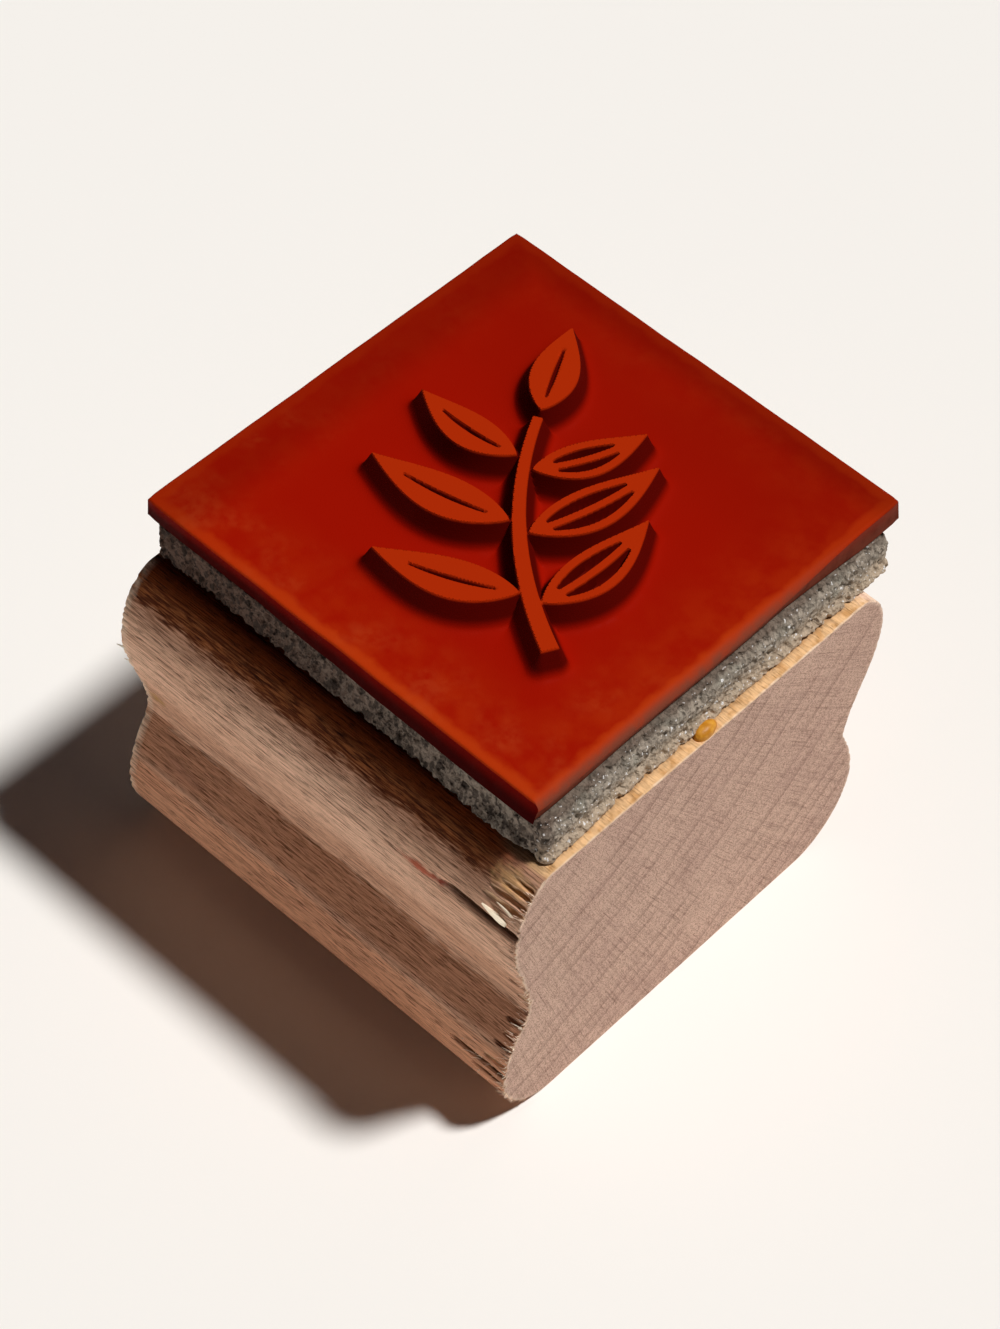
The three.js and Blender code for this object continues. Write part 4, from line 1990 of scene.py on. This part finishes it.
    def top(self, grid: np.ndarray, plane: np.ndarray, relief: np.ndarray, sharp: np.ndarray) -> np.ndarray:
        """The top's points.

        Formula: the height grid, let down by a round at the edge and drawn in by the slow waver of the
        knife. The right edge is well rolled, and sharp only towards its far corner.

        Args:
            grid: Even plane places.
            plane: The same places, snapped to the outlines.
            relief: Heights above the sheet.
            sharp: How sharp the right edge is there, 0 to 1.

        Returns:
            One point a row.
        """
        to_edges = self.reach - np.abs(grid)
        to_right = self.reach[0] - grid[:, 0]
        right_round = self.right_round + (self.edge_round - self.right_round) * sharp
        edge_sag = self.rolled(to_edges.min(axis=1), self.edge_round)
        sag = np.maximum(edge_sag, self.rolled(to_right, right_round))
        dip = self.sheet_waver * layered_noise(plane * self.sheet_scale, Seed.SHEET)
        z = self.thickness + relief - sag - dip * (relief < self.sheet_relief)
        lines = [
            np.column_stack([plane[:, 1 - k] * self.trim_scale, np.sign(plane[:, k]) * self.trim_apart])
            for k in (0, 1)
        ]
        knife = np.column_stack([layered_noise(line, Seed.TRIM + k) for k, line in enumerate(lines)])
        drawn = self.edge_waver * knife * smooth_step(to_edges, self.trim_reach, 0.0)
        to_corner = np.linalg.norm(to_edges, axis=1)
        drawn += self.corner_blunt * smooth_step(to_corner, self.corner_reach, 0.0)[:, None]
        drawn *= np.sign(grid)
        drawn[:, 0] += self.sharp_draw * sharp * smooth_step(to_right, self.trim_reach, 0.0)
        return np.column_stack([plane - drawn, z])

    def walls(self, rim: np.ndarray, lean: np.ndarray) -> np.ndarray:
        """The trimmed walls, from just under the rim to the underside: each leans by its own move.

        Args:
            rim: The rim's points.
            lean: Their plane moves towards the underside.

        Returns:
            Points as (row, place round the rim, xyz).
        """
        share = np.array(self.wall_shares)[:, None, None]
        plane = rim[None, :, :2] + share * lean[None]
        return np.concatenate([plane, rim[None, :, 2:] * (1.0 - share)], axis=2)

    def surface(self) -> tuple[Surface, dict[str, np.ndarray]]:
        """The whole die and its attributes: relief share, distance from the trimmed edge, and fresh: dust on
        the right walls and painted shade on the rolled right edge.

        Returns:
            The surface, and one number a point under each attribute's name.
        """
        xs, ys = self.axis(self.length), self.axis(self.width)
        raised, cuts = self.outlines()
        grid = np.stack(np.meshgrid(xs, ys, indexing="ij"), axis=-1).reshape(-1, 2)
        plane = self.snapped(grid, raised + [outline for outline, _ in cuts])
        relief = self.heights(plane, raised, cuts)
        sharp = smooth_step(grid[:, 1], *self.sharp_span)
        top = self.top(grid, plane, relief, sharp)
        numbers = np.arange(len(grid)).reshape(len(xs), len(ys))
        quads = np.stack([numbers[:-1, :-1], numbers[1:, :-1], numbers[1:, 1:], numbers[:-1, 1:]], axis=-1)
        border = np.concatenate([numbers[:-1, 0], numbers[-1, :-1], numbers[:0:-1, -1], numbers[0, :0:-1]])
        edges = self.reach - np.abs(grid)
        out = np.sign(grid[border]) * (np.abs(edges[border]) < self.touch)
        walls = self.walls(top[border], self.lean(grid[border], out))
        rows = len(top) + np.arange(walls[..., 0].size).reshape(walls.shape[:2])
        faces = quads.reshape(-1, 4).tolist()
        for upper, lower in zip(np.vstack([border[None], rows[:-1]]), rows):
            faces += strip_faces(lower, upper).tolist()
        points = np.vstack([top, walls.reshape(-1, 3), np.zeros((1, 3))])
        faces += fan_faces(rows[-1][::-1], len(points) - 1).tolist()
        below = np.ones(len(points) - len(top))
        dusty = np.maximum(out[:, 0], 0.0) * (1.0 - self.sharp_fresh * sharp[border])
        cut = np.append(np.tile(dusty, len(walls)), 0.0)
        to_right = self.reach[0] - grid[:, 0]
        # Painted shade on the top's rolled right edge, none where that edge is sharp.
        rolled_shade = smooth_step(to_right, self.rolled_shade_reach, 0.0) ** self.rolled_shade_power * (1.0 - sharp)
        attributes = {
            "relief": np.concatenate([relief / self.relief, -below]),
            "edge": np.concatenate([edges.min(axis=1), below * self.width]),
            "fresh": np.concatenate([rolled_shade, cut]),
        }
        return Surface(self.placed(points), faces).outward(), attributes

    def placed(self, points: np.ndarray) -> np.ndarray:
        """Turns the die by hand's error and sets it on its film."""
        plane = turned(points[:, :2], math.radians(self.turn)) + self.middle[:2]
        return np.column_stack([plane, points[:, 2] + self.low[2]])

    def build(self, finish: Material) -> Object:
        """Makes the die with its attributes.

        Args:
            finish: The rubber.

        Returns:
            The piece.
        """
        surface, attributes = self.surface()
        piece = make_piece("moulded_die", surface, [finish], crease=32.0)
        for name, values in attributes.items():
            add_attribute(piece, name, values)
        return piece


def within(points: np.ndarray, outline: np.ndarray, reach: float) -> np.ndarray:
    """True where a point lies in an outline's box, widened by reach."""
    low = outline.min(axis=0) - reach
    high = outline.max(axis=0) + reach
    return ((points >= low) & (points <= high)).all(axis=1)


# The studio


@dataclass(frozen=True)
class Studio:
    """Floor, lights and the camera at the photograph's angle."""

    azimuth: float = 38.96
    elevation: float = 51.285
    roll: float = 4.933
    distance: float = 240.0
    aim: Triple = (-4.566, 5.524, 8.208)
    lens: float = 96.99
    sensor: float = 36.0
    floor_size: float = 3.0
    floor_colour: Colour = (0.92, 0.885, 0.835, 1.0)
    floor_roughness: float = 0.9
    floor_specular: float = 0.1
    key_azimuth: float = 47.0
    key_elevation: float = 65.4
    key_angle: float = 7.9
    key_strength: float = 3.4
    fill_place: Triple = (-0.16, -0.46, 0.018)
    fill_aim: Triple = (0.0, -0.017, 0.012)
    fill_size: Pair = (0.5, 0.03)
    fill_power: float = 0.36
    sky: Colour = (0.004, 0.0036, 0.006, 1.0)
    backdrop: Colour = (0.90, 0.875, 0.82, 1.0)

    def camera(self) -> None:
        """Sets the camera: it looks at aim from azimuth, elevation and distance, rolled about its line."""
        az, el, roll = (math.radians(a) for a in (self.azimuth, self.elevation, self.roll))
        back = Vector((math.sin(az) * math.cos(el), -math.cos(az) * math.cos(el), math.sin(el)))
        right = Vector((math.cos(az), math.sin(az), 0.0))
        up = back.cross(right)
        tilted_right = right * math.cos(roll) + up * math.sin(roll)
        tilted_up = up * math.cos(roll) - right * math.sin(roll)
        data = bpy.data.cameras.new("photo_camera")
        data.lens = self.lens
        data.sensor_width = self.sensor
        data.clip_start = 0.01
        camera = bpy.data.objects.new("photo_camera", data)
        turn = Matrix((tilted_right, tilted_up, back)).transposed().to_4x4()
        place = (Vector(self.aim) + back * self.distance) * MM
        camera.matrix_world = Matrix.Translation(place) @ turn
        bpy.context.collection.objects.link(camera)
        bpy.context.scene.camera = camera

    def floor(self) -> None:
        """Lays a plain pale floor at the handle face's level."""
        half = self.floor_size / 2.0
        mesh = bpy.data.meshes.new("floor")
        corners = [(x * half, y * half, 0.0) for x, y in CORNER_SIGNS.tolist()]
        mesh.from_pydata(corners, [], [(0, 1, 2, 3)])
        material = bpy.data.materials.new("pale_floor")
        material.use_nodes = True
        shader = material.node_tree.nodes["Principled BSDF"]
        shader.inputs["Base Color"].default_value = self.floor_colour
        shader.inputs["Roughness"].default_value = self.floor_roughness
        shader.inputs["Specular IOR Level"].default_value = self.floor_specular
        mesh.materials.append(material)
        floor = bpy.data.objects.new("floor", mesh)
        bpy.context.collection.objects.link(floor)

    def lights(self) -> None:
        """Adds a soft key from behind on the right, a low fill from the left and a faint sky."""
        az, el = math.radians(self.key_azimuth), math.radians(self.key_elevation)
        to_key = Vector((math.cos(az) * math.cos(el), math.sin(az) * math.cos(el), math.sin(el)))
        key = bpy.data.lights.new("key", "SUN")
        key.energy = self.key_strength
        key.angle = math.radians(self.key_angle)
        aimed_light(key, to_key, Vector((0.0, 0.0, 0.0)))
        fill = bpy.data.lights.new("fill", "AREA")
        fill.shape = "RECTANGLE"
        fill.size, fill.size_y = self.fill_size
        fill.energy = self.fill_power
        aimed_light(fill, Vector(self.fill_place), Vector(self.fill_aim))
        bpy.context.scene.world = self.surroundings()

    def surroundings(self) -> bpy.types.World:
        """A world that lights as the faint sky and shows the camera a pale backdrop.

        Returns:
            The world.
        """
        world = bpy.data.worlds.new("studio")
        world.use_nodes = True
        book = NodeBook(world.node_tree)
        to_camera = book.add("ShaderNodeLightPath").outputs["Is Camera Ray"]
        shown = book.mix(to_camera, self.sky, self.backdrop)
        book.feed(world.node_tree.nodes["Background"].inputs["Color"], shown)
        return world

    def build(self) -> None:
        """Sets up camera, floor, lights and the view transform."""
        self.camera()
        self.floor()
        self.lights()
        bpy.context.scene.view_settings.view_transform = "Standard"


def aimed_light(light: bpy.types.Light, place: Vector, target: Vector) -> None:
    """Puts a light at a place, looking at a target.

    Args:
        light: The light.
        place: Where it hangs, in metres.
        target: What it looks at, in metres.
    """
    lamp = bpy.data.objects.new(light.name, light)
    lamp.location = place
    lamp.rotation_euler = (target - place).to_track_quat("-Z", "Y").to_euler()
    bpy.context.collection.objects.link(lamp)


# Finishes and assembly

LONG_GRAIN = MouldedBeech(
    name="beech_long_grain",
    roughness=0.7,
    bump=0.05,
    specular=0.05,
    pale=(0.89, 0.56, 0.39, 1.0),
    tan=(0.82, 0.485, 0.325, 1.0),
    fleck=(0.175, 0.11, 0.075, 1.0),
    ring=(0.44, 0.35, 0.31, 1.0),
    arris=(0.95, 0.72, 0.53, 1.0),
    fibre_share=0.42,
    ray_share=0.2,
    broad_share=0.06,
    ring_share=0.4,
    arris_share=0.75,
)
END_GRAIN = BeechFinish(
    name="beech_end_grain",
    roughness=0.8,
    bump=0.02,
    specular=0.05,
    pale=(0.75, 0.51, 0.395, 1.0),
    tan=(0.68, 0.452, 0.355, 1.0),
    fleck=(0.51, 0.45, 0.43, 1.0),
    ring=(0.36, 0.29, 0.27, 1.0),
    arris=(0.86, 0.64, 0.49, 1.0),
    fibre_share=0.85,
    ray_share=0.6,
    broad_share=0.26,
    ring_share=0.5,
    arris_share=0.8,
)
FRESH_GRAIN = BeechFinish(
    name="beech_fresh_fibre",
    roughness=0.6,
    bump=0.01,
    specular=0.05,
    pale=(0.99, 0.91, 0.74, 1.0),
    tan=(0.95, 0.79, 0.57, 1.0),
    fleck=(0.56, 0.40, 0.30, 1.0),
    ring=(0.74, 0.65, 0.59, 1.0),
    arris=(0.95, 0.66, 0.49, 1.0),
    fibre_share=0.2,
    ray_share=0.15,
    broad_share=0.0,
    ring_share=0.15,
    arris_share=0.9,
)


def settle(piece: Object, body: Body, slot: Slot, *nodes: str) -> None:
    """Hides the CAD nodes that a piece stands for and attaches the piece to its body."""
    if nodes:
        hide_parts(*nodes)
    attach(piece, body.value)


def build_stamp() -> None:
    """Builds and dresses every piece of the stamp."""
    figure = BeechFigure().group()
    dust = dust_group()

    block = BeechBlock()
    wood = block.build(LONG_GRAIN.material(figure), END_GRAIN.material(figure))
    settle(wood, Body.MOUNT, Slot.BEECH, "wood_block")
    settle(TornFibres(block).build(FRESH_GRAIN.material(figure)), Body.MOUNT, Slot.BEECH)

    film = FilmFinish(name="adhesive_film", roughness=0.45, bump=0.02, specular=0.5).material(dust)
    lower = AdhesiveFilm("cushion_adhesive").build("seat_film", film)
    settle(lower, Body.MOUNT, Slot.FILM, "cushion_adhesive")
    upper = AdhesiveFilm("die_adhesive").build("die_film", film)
    settle(upper, Body.DIE, Slot.FILM, "die_adhesive")
    glue = GlueFinish(name="amber_glue", roughness=0.45, bump=0.05, specular=0.3).material()
    settle(GlueDrop().build(glue), Body.MOUNT, Slot.GLUE, "glue_drop")

    cushion = FoamCushion()
    cut_foam = FoamFinish(name="cut_grey_foam", roughness=0.85, bump=0.12, specular=0.15).material(dust)
    foam = cushion.build(cut_foam)
    settle(foam, Body.MOUNT, Slot.FOAM, "foam_cushion")
    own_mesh(foam)

    rubber = RubberFinish(name="red_rubber", roughness=0.6, bump=0.012, specular=0.012).material(dust)
    die = RubberDie().build(rubber)
    settle(die, Body.DIE, Slot.RUBBER, "rubber_die")


def main() -> None:
    """Builds the stamp and its studio."""
    logging.basicConfig(level=logging.INFO, format="%(name)s %(message)s")
    build_stamp()
    Studio().build()


if __name__ == "__main__":
    main()
